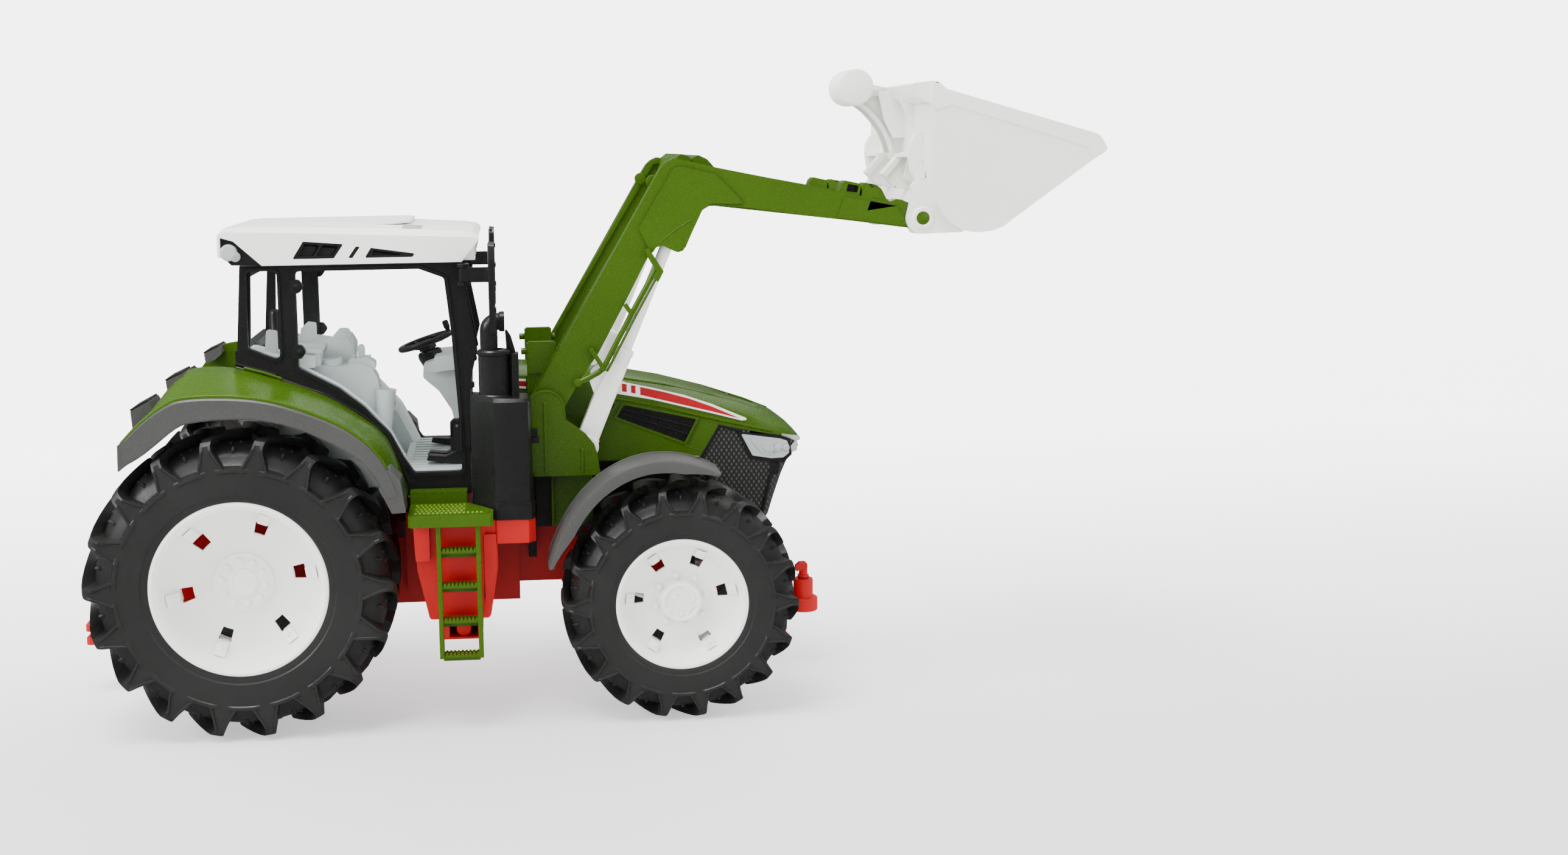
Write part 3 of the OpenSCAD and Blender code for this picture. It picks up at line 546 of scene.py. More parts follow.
class TyreShape:
    """Rows of a tyre's outer skin, from the bead over the sidewall to the middle of the tread. Each row has
    an envelope point (radius, depth from the outer face), a pocket-floor point, the pocket's half angle and
    how far the pocket leans, both in degrees. Depth counts inwards from the tyre's outer face."""

    def __init__(self, r, w, rim_r):
        self.r, self.w, self.rim_r = r, w, rim_r
        wall = r - rim_r
        k = wall / 27.5
        d = w / 48
        self.k, self.d = k, d

        def rr(v):
            return rim_r + (v - 35) * k

        bead = [(35.0, 7), (35.0, 2.6), (35.5, 1.7), (36.6, 1.15), (38.2, 1.0), (38.8, 0.62), (41.5, 0.35),
            (44.5, 0.15), (47.5, 0.02)]
        self.rows = [(rr(a), b * d, rr(a), b * d, 3.6, 0.0, "plain") for a, b in bead]
        lip = [(47.9, 3.9, "lip"), (49.1, 4.0, "lip")]
        for a, h, kind in lip:
            self.rows.append((rr(a), 0.02, rr(a), 0.02, h, 0.0, kind))
        skin = [(49.5, 0.0, 49.5, 0.6, 4.1, 0, "pocket"), (50.2, 0.0, 50.1, 2.6, 4.5, 0, "pocket"),
            (51.5, 0.0, 51.4, 3.7, 5.2, 0, "pocket"), (53.5, 0.0, 53.1, 4.6, 6.2, 0, "pocket"),
            (55.5, 0.0, 54.8, 5.8, 7.1, 0, "pocket"), (57.4, 0.0, 56.2, 7.6, 7.8, 0, "pocket"),
            (59.2, 0.35, 57.2, 9.6, 8.0, 0.2, "tread"), (60.7, 1.6, 57.9, 11.6, 8.05, 0.6, "tread"),
            (61.6, 3.6, 58.3, 13.4, 8.05, 1.6, "tread"), (62.1, 7.0, 58.5, 15.2, 8.05, 3.6, "tread"),
            (62.4, 12.0, 58.7, 17.0, 8.0, 6.6, "tread"), (62.5, 17.0, 58.8, 19.0, 7.9, 9.6, "tread"),
            (62.5, 21.4, 58.9, 21.6, 7.8, 12.2, "tread"), (62.2, 22.3, 58.9, 22.4, 7.8, 12.8, "tread"),
            (58.9, 22.7, 58.9, 22.7, 7.8, 13.0, "end"), (58.9, 24.0, 58.9, 24.0, 8.0, 13.0, "end"),]
        for a, b, c, e, h, lean, kind in skin:
            self.rows.append((rr(a), b * d, rr(c), e * d, h, lean, kind))

    def columns(self, half):
        """(angle in degrees within a period, share of pocket floor, share of raised border)."""
        rim = min(9.7, half + 1.25)
        out = [(-10.0, 0, 0), (-(rim + 10) / 2, 0, 0), (-rim, 0, 0), (-(rim - 0.3), 0, 1), (-half, 0, 1)]
        out += [(-(half - 0.45), 1, 0), (-half * 0.6, 1, 0), (-half * 0.25, 1, 0)]
        return out + [(-a, b, c) for a, b, c in out[::-1] if a > -10.0]


def add_tyre(name, body, node, shape, centre_x, centre_z, side, outer):
    """One tyre. side is -1 for the right; outer is the distance of its outer face from the middle plane."""
    piece = Piece(name, body, "tyre_rubber", node)
    width = shape.w
    for half_side in (0, 1):
        stagger = half_side * PERIOD / 2
        grid = []
        for er, ed, pr, pd, half, lean, kind in shape.rows:
            ring = []
            for lug in range(LUGS):
                for a, floor_share, border in shape.columns(half):
                    r, depth = er, ed
                    if kind in ("pocket", "tread") and floor_share:
                        r, depth = pr, pd
                    if kind == "lip" and abs(a) <= half + 1.3:
                        depth -= 0.5
                    if kind == "pocket" and border:
                        depth -= 0.5
                    angle = lug * PERIOD + math.radians(a + lean) + stagger
                    y_in = 0.5 + depth if half_side == 0 else width - 0.5 - depth
                    ring.append(piece.bm.verts.new(at(centre_x + r * math.sin(angle), side * (outer - y_in),
                        centre_z + r * math.cos(angle))))
            grid.append(ring)
        made = []
        for one, two in zip(grid, grid[1:]):
            for k in range(len(one)):
                n = (k + 1) % len(one)
                made.append(piece.bm.faces.new([one[k], one[n], two[n], two[k]]))
        piece._paint(made, RUBBER)
        if half_side == 0:
            first_bead, first_end = grid[0], grid[-1]
        else:
            columns = len(first_end)
            shift = columns // LUGS // 2
            for pair in ((first_bead, grid[0]), (first_end, grid[-1])):
                joined = []
                for k in range(columns):
                    a, b = pair[0][k], pair[0][(k + 1) % columns]
                    c, d = pair[1][(k - shift) % columns], pair[1][(k + 1 - shift) % columns]
                    joined.append(piece.bm.faces.new([a, b, d, c]))
                piece._paint(joined, RUBBER)
        for lug in range(LUGS):
            for r, depth, lean, size in ((55.4, 6.3, 0, (0.75, 0.9, 1.7)), (57.6, 11.2, -1.6,
                    (0.7, 0.7, 0.7)), (57.9, 12.2, 2.2, (0.7, 0.7, 0.7))):
                angle = lug * PERIOD + math.radians(lean) + stagger
                rad = shape.rim_r + (r - 35) * shape.k
                y_in = 0.5 + depth * shape.d if half_side == 0 else width - 0.5 - depth * shape.d
                piece.dome(RUBBER, (centre_x + rad * math.sin(angle), side * (outer - y_in),
                    centre_z + rad * math.cos(angle)), [v * shape.k * 1.15 for v in size], 8, 6, angle)
    return piece.done(bevel=0, angle=24)


REAR_TYRE = TyreShape(REAR_R, 48, 35)
FRONT_TYRE = TyreShape(FRONT_R, 38, 27)
REAR_RIM = [(0, 14.9), (4.2, 14.9), (4.6, 14.5), (5.2, 14.5), (5.7, 15.0), (6.0, 15.5), (11.5, 15.5),
    (12.0, 15.8), (12.3, 16.6), (13, 16.9), (19.5, 16.6), (20.5, 16.5), (25.5, 15.2), (28.5, 13.4),
    (30.6, 10.5), (31.5, 6.8), (31.9, 4.2), (32.4, 2.9), (33.0, 2.5), (33.4, 1.9), (34.2, 1.4), (35.1, 1.5),
    (35.6, 2.2), (35.5, 3.2), (34.9, 4.2), (34.6, 8), (34.6, 40), (35.4, 45), (34.9, 46.4), (33.9, 46.5),
    (33.1, 45.4), (32.8, 41), (32.6, 20)]
FRONT_RIM = [(0, 5.9), (6.5, 5.9), (6.8, 5.4), (7.5, 5.3), (8.0, 5.6), (8.4, 6.6), (8.7, 9.2), (9.4, 9.9),
    (14.6, 9.7), (15.4, 9.6), (19.4, 8.9), (21.8, 7.9), (23.4, 6.0), (24.1, 4.4), (24.4, 3.1), (24.8, 2.7),
    (25.2, 2.0), (26.1, 1.5), (27.0, 1.6), (27.5, 2.3), (27.4, 3.2), (26.9, 4.2), (26.6, 8), (26.6, 31),
    (27.4, 35.2), (26.9, 36.4), (25.9, 36.5), (25.1, 35.4), (24.8, 31), (24.6, 13)]
REAR_BLOCKS = (8.7, 69.7, 132.6, 191, 250, 310)
FRONT_BLOCKS = (12, 68, 122, 175, 237, 302)


def add_rim(name, body, node, profile, blocks, window, block, centre_x, centre_z, side, outer, bolts, cap):
    """One rim: a lathed dish with six windows, each with a block and stud beside it, and a ring of nuts.
    window is (inner radius, outer radius, half angle); block is (outer radius, half width, depth at each
    end); bolts is (count, ring radius, nut radius, depth)."""
    piece = Piece(name, body, "white_plastic", node)
    segments = 180
    centre = Vector((centre_x, side * outer, centre_z))
    out = Vector((0, side, 0))
    rows = [i for i in range(len(profile) - 1)
        if window[0] <= profile[i][0] < window[1] and profile[i][1] < 20 and profile[i + 1][0] <= window[1]
        + 0.1]

    def skip(i, k):
        angle = side * 360.0 * (k + 0.5) / segments
        return i in rows and any(abs((angle - b + 180) % 360 - 180) < window[2] for b in blocks)

    def ray(angle):
        a = math.radians(angle)
        return Vector((math.cos(a), 0, math.sin(a)))

    piece.spin(WHITE, profile, centre, -out, segments, skip)
    piece.done(bevel=0, angle=35, solid=1.5)

    studs = Piece(name + "_studs", body, "white_plastic")
    count, ring, nut, depth = bolts
    for k in range(count):
        base = centre + ray(90 + 360 * (k + 0.25) / count) * ring - out * depth
        studs.spin(WHITE, [(nut + 0.35, -0.4), (nut + 0.1, 0.2), (nut, 0.9), (nut * 0.8, 1.5),
            (nut * 0.4, 1.8), (0, 1.85)], base, out, 16)
    r0, r1 = window[1] + 0.1, block[0]
    for angle in blocks:
        radial, tangent = ray(angle), ray(angle + 90)
        sections = []
        for r, w, top in ((r0, block[1], block[2]), (r1, block[1] * 1.25, block[3])):
            sections.append([tuple(centre + radial * r + tangent * (w * t) - out * (top + drop)) for t,
                drop in ((-1, 7), (1, 7), (0.82, 0), (-0.82, 0))])
        studs.loft(WHITE, sections)
        top = block[2] + (block[3] - block[2]) * 0.42
        base = centre + radial * (r0 + (r1 - r0) * 0.42) - out * (top + 0.2)
        studs.spin(WHITE, [(block[1] * 0.5, 0), (block[1] * 0.5, 0.5), (block[1] * 0.42, 0.8), (0, 0.95)],
            base, out, 14)
    if cap:
        # Three small rings and three curved marks on the flat hub cap
        for k in range(3):
            base = centre + ray(260 + 120 * k) * 4.3 - out * 5.8
            studs.spin(WHITE, [(1.6, 0), (1.5, 0.35), (1.15, 0.4), (0.9, 0.1), (0, 0.0)], base, out, 18)
            radial, tangent = ray(200 + 120 * k), ray(290 + 120 * k)
            steps = [-1 + t / 4 for t in range(9)]
            studs.tube(WHITE, [centre + radial * (6.6 - 1.9 * math.sqrt(1 - u * u)) + tangent * (3 * u) - out
                * 5.75 for u in steps], 0.3, 8)
    hub = 36.4 if cap else 44
    studs.spin(WHITE, [(6.5, 11 if cap else 18), (6.5, hub), (3.2, hub), (3.2, hub - 6)], centre, -out, 40)
    studs.done(bevel=0.18, angle=30)


for side_name, side in SIDES:
    add_tyre("rear_tyre_" + side_name, "wheel_rear_" + side_name, "tyre_rear_" + side_name, REAR_TYRE, 0,
        REAR_R, side, 80)
    add_tyre("front_tyre_" + side_name, "wheel_front_" + side_name, "tyre_front_" + side_name, FRONT_TYRE,
        WHEELBASE, FRONT_R, side, 74.7)
    add_rim("rear_rim_" + side_name, "wheel_rear_" + side_name, "rim_rear_" + side_name, REAR_RIM,
        REAR_BLOCKS, (20.4, 25.5, 6.5), (30.5, 2.4, 12.5, 9.0), 0, REAR_R, side, 80, (10, 8.9, 1.35, 15.5),
        False)
    add_rim("front_rim_" + side_name, "wheel_front_" + side_name, "rim_front_" + side_name, FRONT_RIM,
        FRONT_BLOCKS, (15.3, 19.4, 8.0), (23.0, 2.1, 6.4, 5.0), WHEELBASE, FRONT_R, side, 74.7,
        (8, 10.8, 1.25, 9.6), True)


# ---- Cab roof ----
ROOF_HALF = 49.9
ROOF_STATIONS = [  # x, underside, crease of the side, top near the edge, top in the middle
    (-5.6, 192.6, 201.6, 202.8, 203.2), (-3.5, 191.6, 202.4, 203.8, 204.2), (2, 189.6, 202.6, 204.4, 204.9),
    (12, 189.1, 202.2, 204.3, 205.0), (35, 189.1, 201.4, 203.8, 204.6), (60, 189.1, 200.4, 202.9, 203.8),
    (80, 189.1, 199.5, 202.0, 202.9), (92, 189.1, 198.9, 201.3, 202.2), (96.5, 194.5, 198.3, 200.6, 201.6),
    (98.6, 197.4, 198.0, 199.2, 200.2)]


def add_roof():
    """White roof shell with side panels, framed vents, top insets and black rear corners."""
    roof = Piece("roof_shell", "chassis", "white_plastic", "roof", "roof_corner_trims", "roof_lamps")
    sections = []
    for x, low, crease, edge, top in ROOF_STATIONS:
        inset = 3.4
        sections.append([(x, -ROOF_HALF + inset, low), (x, -ROOF_HALF + inset, crease), (x, -44, edge),
            (x, -33, edge + 0.55), (x, -30, top), (x, 30, top), (x, 33, edge + 0.55), (x, 44, edge),
            (x, ROOF_HALF - inset, crease), (x, ROOF_HALF - inset, low), (x, 42, low + 1.5),
            (x, -42, low + 1.5)])
    roof.loft(WHITE, sections)
    side_edge = [(11.5, 189), (91.4, 189), (97.8, 196.9), (98.4, 198.1), (96, 198.9), (12, 202.3),
        (-3.5, 202.6), (-5.8, 201.8), (-5.6, 200.8), (0.5, 199)]
    vents = [[(23.7, 191.4), (28.2, 198.4), (44.3, 197.1), (40.3, 191.4)], [(45.9, 191.4), (47.7, 191.4),
        (51, 196), (49.2, 196)], [(52.6, 191.4), (55.2, 195.4), (72.8, 192.8), (71.8, 191.4)]]
    recesses = [[(26.1, 192.4), (28.9, 197.3), (34.6, 196.8), (31.9, 192.4)], [(33.2, 192.4), (36.1, 196.7),
        (42.2, 196.2), (39.5, 192.4)], [(55.3, 192.3), (56.3, 194.3), (67, 192.7), (66.6, 192.3)]]
    for side in (RIGHT, LEFT):
        roof.plate(WHITE, rounded(side_edge, [0, 0.6, 0.8, 0.6, 0, 0, 1.5, 0.8, 0, 0.8]), 46, ROOF_HALF,
            [rounded(v, 0.5, 3) for v in vents], side)
        roof.plate(WHITE, rounded([(11.7, 189.2), (22.6, 189.2), (16.6, 194.2), (7.2, 194.4)], 0.4),
            ROOF_HALF - 1, ROOF_HALF + 0.1, side=side)
        for i, v in enumerate(vents):
            middle = Vector((sum(p[0] for p in v) / len(v), sum(p[1] for p in v) / len(v)))
            frame_edge = [tuple(middle + (Vector(p) - middle) * 0.985) for p in v]
            holes = [rounded(r, 0.4, 3) for r in recesses if i != 1 and (r[0][0] < 50) == (i == 0)]
            roof.plate(BLACK, rounded(frame_edge, 0.4, 3), 48.9, ROOF_HALF - 0.35, holes, side)
            roof.plate(BLACK, v, 46.4, 47.2, side=side)
            for r in holes:
                roof.loft(BLACK, [[(x, side * 47.1, z) for x, z in r], [(x - 1.0, side * 48.9, z - 0.8)
                    for x, z in r]])
        # Black rear corner with its round marker lamp, and the white rear edge beyond it
        roof.plate(BLACK, rounded([(12.5, 188.9), (1, 198.6), (-5.4, 200.4), (-5.2, 194), (-0.8, 189.3)],
            0.6), 43.8, 48.4, side=side)
        roof.plate(WHITE, rounded([(-5.9, 192.4), (-4.7, 192.6), (-4.7, 200.6), (-5.9, 201.4)], 0.3), 42,
            49.4, side=side)
        roof.rod(LAMP, (-1.3, side * 47.5, 194.4), (-1.6, side * 50.9, 194.5), 3.4, 28, 1.2)
        roof.rod(LAMP, (-1.3, side * 45, 194.4), (1.6, side * 50.2, 192.4), 2.1, 24, 0.8)
        # Lamp cluster at the front corner
        roof.block(BLACK, (89.5, 27, 189.4), (92.6, 47.6, 198), side)
        roof.plate(WHITE, rounded([(92, 195.5), (97.6, 197.3), (98.6, 198.6), (92, 199)], 0.3), 26, 49.2,
            side=side)
        for y in (31, 37.6, 44.2):
            roof.rod(LAMP, (91.5, side * y, 193.2), (97.2, side * y, 193.9), 2.75, 24, 0.9)
            roof.block(WHITE, (92, y + 3.0, 189.6), (96.9, y + 3.7, 197), side)
    # Raised fields and grey insets on top
    roof.plan(WHITE, rounded([(16, -27), (66, -29), (70, -22), (70, 22), (66, 29), (16, 27), (11, 20),
        (11, -20)], 2), 204, 205.2)
    for side in (RIGHT, LEFT):
        roof.loft(GREY_WARM, [[(8.5, side * 43.5, 204.2), (8.5, side * 36, 204.7), (8.5, side * 36, 203)],
            [(33, side * 43, 203.75), (33, side * 41.5, 203.9), (33, side * 41.5, 202.9)]])
        roof.loft(GREY_WARM, [[(67.5, side * 43.6, 202.65), (67.5, side * 30, 203.6), (67.5, side * 30,
            201)], [(75.5, side * 43.6, 202.3), (75.5, side * 30, 203.25), (75.5, side * 30, 201)]])
    roof.done(bevel=0.45, angle=20)


GREY_WARM = material("roof_inset", (0.36, 0.34, 0.32), 0.4, 900, 0.1, 0.03)
add_roof()

# ---- Cab frame ----
CAB_SIDE = [(2, 188.8), (-0.5, 154.4), (-1.9, 146.2), (8, 143.8), (17, 140.8), (35, 134), (50, 124.5),
    (58, 117.5), (62.5, 108), (65.8, 97.5), (66, 92.5), (92.6, 92.5), (92.8, 137), (96.6, 152.5),
    (90.6, 188.8)]
DOOR = [(24, 186.3), (74, 186.3), (84, 182.5), (86.3, 160), (89, 115), (89, 102.2), (69.4, 102.2),
    (65.3, 108.5), (60, 119), (50, 130.2), (40, 138.3), (24, 147)]
DOOR_R = [2.2, 2, 2, 6, 4, 1.4, 2, 6, 10, 12, 12, 1.6]
QUARTER = [(4.7, 186.6), (16.8, 186.6), (16.8, 150.3), (4.0, 155.2)]


def inset(points, amount):
    """The outline moved inwards by amount; counter-clockwise or clockwise outlines both work."""
    n = len(points)
    area = sum(points[i - 1][0] * points[i][1] - points[i][0] * points[i - 1][1] for i in range(n))
    sign = 1 if area > 0 else -1
    out = []
    for i in range(n):
        a, b, c = Vector(points[i - 1]), Vector(points[i]), Vector(points[(i + 1) % n])
        e1, e2 = (b - a), (c - b)
        if e1.length < 1e-6 or e2.length < 1e-6:
            out.append(tuple(b))
            continue
        n1 = Vector((-e1.y, e1.x)).normalized() * sign
        n2 = Vector((-e2.y, e2.x)).normalized() * sign
        m = n1 + n2
        if m.length < 1e-6:
            m = n1
        m = m.normalized() / max(0.4, m.normalized().dot(n1))
        out.append(tuple(b + m * amount))
    return out


def add_cab_frame():
    """Black pillars and rails, with raised beads along the openings, hinge lugs and the latch plate."""
    cab = Piece("cab_frame_skin", "chassis", "black_plastic", "cab_frame")
    door = rounded(DOOR, DOOR_R, 6)
    quarter = rounded(QUARTER, 2.2, 5)
    shell = rounded(CAB_SIDE, [0, 0, 2, 6, 8, 10, 12, 8, 8, 4, 1, 1, 3, 4, 0], 4)
    for side in (RIGHT, LEFT):
        cab.plate(BLACK, shell, 43, 46.2, [door, quarter], side)
        # Raised border round the door way and the quarter window
        cab.plate(BLACK, inset(door, -1.5), 45.8, 46.9, [inset(door, 0.02)], side)
        cab.plate(BLACK, inset(quarter, -1.1), 45.8, 46.9, [inset(quarter, 0.02)], side)
        arch = [(-1.4, 147.6), (8, 145), (17, 142.1), (35, 135.3), (50, 125.9), (58.6, 118.6), (63.4, 108.6),
            (66.9, 98.2)]
        path = []
        for a, b in zip(arch, arch[1:]):
            path += [(a[0] + (b[0] - a[0]) * t / 4, side * 46.5, a[1] + (b[1] - a[1]) * t / 4)
                for t in range(4)]
        cab.tube(BLACK, path + [(arch[-1][0], side * 46.5, arch[-1][1])], 0.8, 10)
        cab.tube(BLACK, [(x, side * 46.5, z + 1.6) for x, y, z in path[:8]], 0.6, 8)
        # Second member of the front pillar, behind a groove
        cab.plate(BLACK, [(88.6, 186), (90.6, 188.6), (96.8, 153), (93.4, 139), (92.6, 112), (90.6, 112),
            (91, 140)], 46, 46.8, side=side)
        cab.plate(BLACK, rounded([(87.4, 189), (90.8, 189), (97.2, 154), (93.9, 152)], 0.8), 38, 42.8,
            side=side)
        # Hinge lugs with their pins
        for z in (153.6, 180.2):
            cab.plate(BLACK, rounded([(21.6, z - 3), (25.6, z - 2.7), (27.4, z), (25.6, z + 2.7),
                (21.6, z + 3)], 1.6, 5), 44.6, 47.9, side=side)
            cab.rod(BLACK, (24.9, side * 47.4, z), (24.9, side * 48.5, z), 1.35, 20, 0.3)
            cab.rod(BLACK, (24.9, side * 48.2, z), (24.9, side * 48.8, z), 0.6, 14, 0.2)
        # Latch plate with its raised border and stud
        latch = [(84.6, 110.8), (89.4, 110.8), (89.4, 124.3), (86, 124.3), (84.6, 122.9)]
        cab.plate(BLACK, rounded(latch, 0.7), 44.4, 47.3, side=side)
        cab.plate(BLACK, rounded(latch, 0.7), 47, 47.9, [rounded(inset(latch, 0.8), 0.4)], side)
        cab.rod(STEEL, (87.4, side * 47, 121.4), (87.4, side * 47.9, 121.4), 0.6, 12, 0.15)
        # Mirror hinge lugs and the little pillar stop lugs
        for z in (179.6, 186.8):
            cab.plan(BLACK, rounded([(89.5, 45), (94.3, 45), (94.4, 52.2), (92, 54.6), (89.6, 52.2)], 1.4,
                4), z, z + 1.4, side=side)
        cab.rod(BLACK, (92, side * 52.2, 179.7), (92, side * 52.2, 188.2), 1.15, 20, 0.3)
        cab.plate(BLACK, rounded([(92.6, 136), (95.2, 137.4), (95.2, 139.4), (92.6, 139.4)], 0.5), 45, 47.6,
            side=side)
        cab.plate(BLACK, rounded([(93.6, 97.5), (92.2, 97.5), (92.2, 94.3), (93.6, 94.3)], 0.3), 45, 47,
            side=side)
        # Rear pillar's inner flange
        cab.plate(BLACK, [(2.8, 186), (5.6, 186), (4.4, 156), (0.6, 156)], 40, 43.4, side=side)
    for low, high in (((1.8, -44, 184.4), (6, 44, 188.8)), ((84, -44, 184.8), (90.4, 44, 188.8)),
            ((-1.6, -44, 146.6), (2.6, 44, 154.2)), ((91, -44, 128), (93, 44, 146)), ((16, -44, 186.6),
            (24, -40, 188.8)), ((16, 40, 186.6), (24, 44, 188.8))):
        cab.block(BLACK, low, high)
    cab.plan(BLACK, [(66, -44), (92.8, -44), (92.8, 44), (66, 44)], 92.6, 95.5,
        [[(70, -20), (88, -20), (88, 20), (70, 20)]])
    # Wiper-like post behind the seat, with its rounded cap
    cab.spin(BLACK, [(0, 0), (3.4, 0), (3.4, 9), (2.7, 10.6), (2.7, 17), (2.2, 18.7), (1.2, 19.6),
        (0, 19.8)], (9.6, 0, 147.4), (0, 0, 1), 32)
    cab.block(BLACK, (5, -8, 147.6), (13, 8, 152.5), soft=1.5)
    cab.done(bevel=0.4, angle=24)


add_cab_frame()

# ---- Cab inside ----
FLOOR_Z = 102
INNER_ARCH = [(16, 147.6), (24, 147.4), (40, 138.6), (50, 130.6), (60.2, 119), (65.3, 108.6), (68.4, 101.8),
    (68, 96), (16, 96)]


def add_cab_inside():
    """Light grey tub: wheel arches, ribbed floor, rear shelf, consoles and the driver's seat."""
    tub = Piece("cab_tub", "chassis", "grey_plastic", "cab_floor")
    arch = rounded(INNER_ARCH, [2, 3, 10, 10, 8, 8, 2, 0, 0], 5)
    top_line = [p for p in arch if p[1] > 100]
    for side in (RIGHT, LEFT):
        tub.plate(GREY, arch, 40.6, 42.9, side=side)
        # Rounded shoulder that leans inwards from the arch's edge down to the seat
        sections = []
        for x, z in top_line:
            sections.append([(x, side * 42.9, z), (x, side * 41.4, z + 0.6), (x, side * 36, z - 0.2),
                (x - 1.2, side * 31, z - 3.5), (x - 2.6, side * 29.4, z - 9), (x - 3.4, side * 29, z - 16),
                (x - 3.4, side * 40, z - 16), (x - 1, side * 42.5, z - 3)])
        tub.loft(GREY, [[(x, y, max(z, 97)) for x, y, z in s] for s in sections])
        tub.plate(GREY, rounded([(2.6, 147), (17, 147), (22, 149.6), (16.8, 151.2), (4.8, 154.6),
            (2.8, 154.6)], 1), 26, 42.9, side=side)
        tub.plate(GREY, rounded([(9, 152), (14, 151), (14, 160.8), (10, 161.4)], 0.8), 30, 35, side=side)
    tub.plan(GREY, [(64, -42.9), (90.6, -42.9), (90.6, 42.9), (64, 42.9)], 96.2, FLOOR_Z)
    for k in range(13):
        tub.block(GREY, (67, -41 + k * 6.4, FLOOR_Z - 0.1), (90, -38 + k * 6.4, FLOOR_Z + 0.45))
    tub.plan(GREY, [(3, -29), (66, -29), (66, 29), (3, 29)], 88.4, 97)
    tub.plate(GREY, [(3, 96), (16, 96), (16, 150.5), (3, 150.5)], -29, 29)
    tub.plate(GREY, rounded([(16, 146), (30, 146), (30, 150.6), (16, 152.6)], 0.8), -40, 40)
    # Rear console box with its lighter lip
    tub.plate(GREY, rounded([(17.5, 146), (31.5, 146), (31.5, 152.2), (18.5, 152.8)], 0.8), -34, -18)
    tub.plate(GREY, rounded([(17, 151.8), (32.4, 151.4), (32.4, 153), (17, 153.6)], 0.4), -35, -17)
    tub.plate(GREY, rounded([(18, 146), (24, 146), (24, 158), (20, 158.6)], 1), 4, 30)
    tub.done(bevel=0.5, angle=30)

    seat = Piece("seat", "chassis", "grey_plastic", "driver_seat")
    cushion = rounded([(22, 118), (56, 118), (58, 123), (56.5, 128), (48, 129), (36, 127.5), (22, 127)],
        [1, 3, 2.5, 2.5, 6, 4, 1], 5)
    seat.plate(GREY, cushion, -12.5, 12.5)
    for side in (RIGHT, LEFT):
        seat.plate(GREY, rounded([(24, 117), (57, 117), (59.4, 123), (57.8, 129), (48, 130.4), (36, 129),
            (24, 130)], [1, 3, 2.5, 2.5, 6, 4, 1], 5), 12, 16, side=side)
        seat.plate(GREY, rounded([(28, 127), (37, 127), (42.6, 139), (43.4, 151), (41, 155.4), (35, 154.6),
            (31, 149)], [1, 3, 8, 4, 2.4, 2, 6], 5), 11.5, 15.2, side=side)
    seat.plate(GREY, rounded([(25, 126), (37, 126), (40.6, 139), (41.6, 152), (40.2, 157.2), (35.6, 157.2),
        (32, 150)], [1, 3, 8, 4, 2.4, 2.4, 6], 5), -11.8, 11.8)
    for k in range(5):
        seat.tube(GREY, [(40.9 + 0.1 * t - 0.03 * (t - 3) ** 2, -8 + 4 * k, 138 + 2.3 * t)
            for t in range(8)], 0.9, 10)
    seat.block(GREY, (26, -11, 96), (50, 11, 118), soft=3)
    seat.done(bevel=0.6, angle=30)

    arm = Piece("armrest", "chassis", "grey_plastic", "armrest_console")
    arm.plate(GREY, rounded([(26, 97), (56, 97), (56.4, 128), (54.4, 140), (52, 144.2), (47, 146.3),
        (37, 144.8), (28, 146.6)], [0, 2, 4, 4, 2.5, 3, 4, 2], 5), -28.8, -18.2)
    arm.plate(GREY, rounded([(41, 143.5), (53.4, 142.2), (53.8, 146.2), (50, 148.6), (43, 147.8)],
        [1, 2, 1.6, 2, 2], 4), -27.4, -19.6)
    for k in range(4):
        arm.tube(GREY, [(44.6 + 2.1 * k, -26.2, 148.3), (44.9 + 2.1 * k, -23.4, 148.7), (44.6 + 2.1 * k,
            -20.6, 148.3)], 0.5, 8)
    arm.spin(GREY, [(0, -2), (1.55, -2), (1.55, 6.2), (1.3, 7.4), (0.7, 8), (0, 8.1)], (47.8, -24, 145.6),
        (0, 0, 1), 24)
    arm.spin(GREY, [(0, -3), (4.6, -3), (4.8, 1.5), (4.2, 1.9), (3.6, 1.4), (3.4, -1), (0, -1)],
        (35, -23.6, 146), (-0.1, 0, 1), 28)
    # Storage cup in front of the armrest
    arm.spin(GREY, [(0, -14), (3.4, -14), (4.2, 2), (4.5, 3.2), (3.9, 3.2), (3.6, 2), (3.2, -9), (0, -9)],
        (57.6, -30, 132), (0.1, 0, 1), 28)
    arm.done(bevel=0.5, angle=30)

    dash = Piece("dashboard", "chassis", "grey_plastic", "dash_console", "pedals")
    column = rounded([(73.2, 143.2), (80, 145.6), (90.7, 146), (90.7, 102), (88.6, 102), (85.4, 119),
        (84.6, 123), (79.4, 131.4), (72.7, 137.4)], [1.6, 2, 0, 0, 0, 4, 4, 4, 2], 5)
    dash.plate(GREY, column, -13.6, 13.6)
    dash.plate(GREY, rounded([(76, 140), (90, 141.5), (90, 147.5), (78, 146.6)], 1.5), -18, 18)
    for y in (-30, -21):
        dash.plate(BLACK, rounded([(73.6, 104.2), (80, 103), (90.4, 102.2), (90.4, 107.6), (86.6, 107.8),
            (82, 105.6), (75, 106.3)], 0.6), y, y + 6)
    dash.plate(BLACK, rounded([(74, 104.2), (80, 103), (90.4, 102.2), (90.4, 106.6), (82, 105.6),
        (75, 106.3)], 0.6), 16, 22)
    dash.done(bevel=0.5, angle=30)


add_cab_inside()


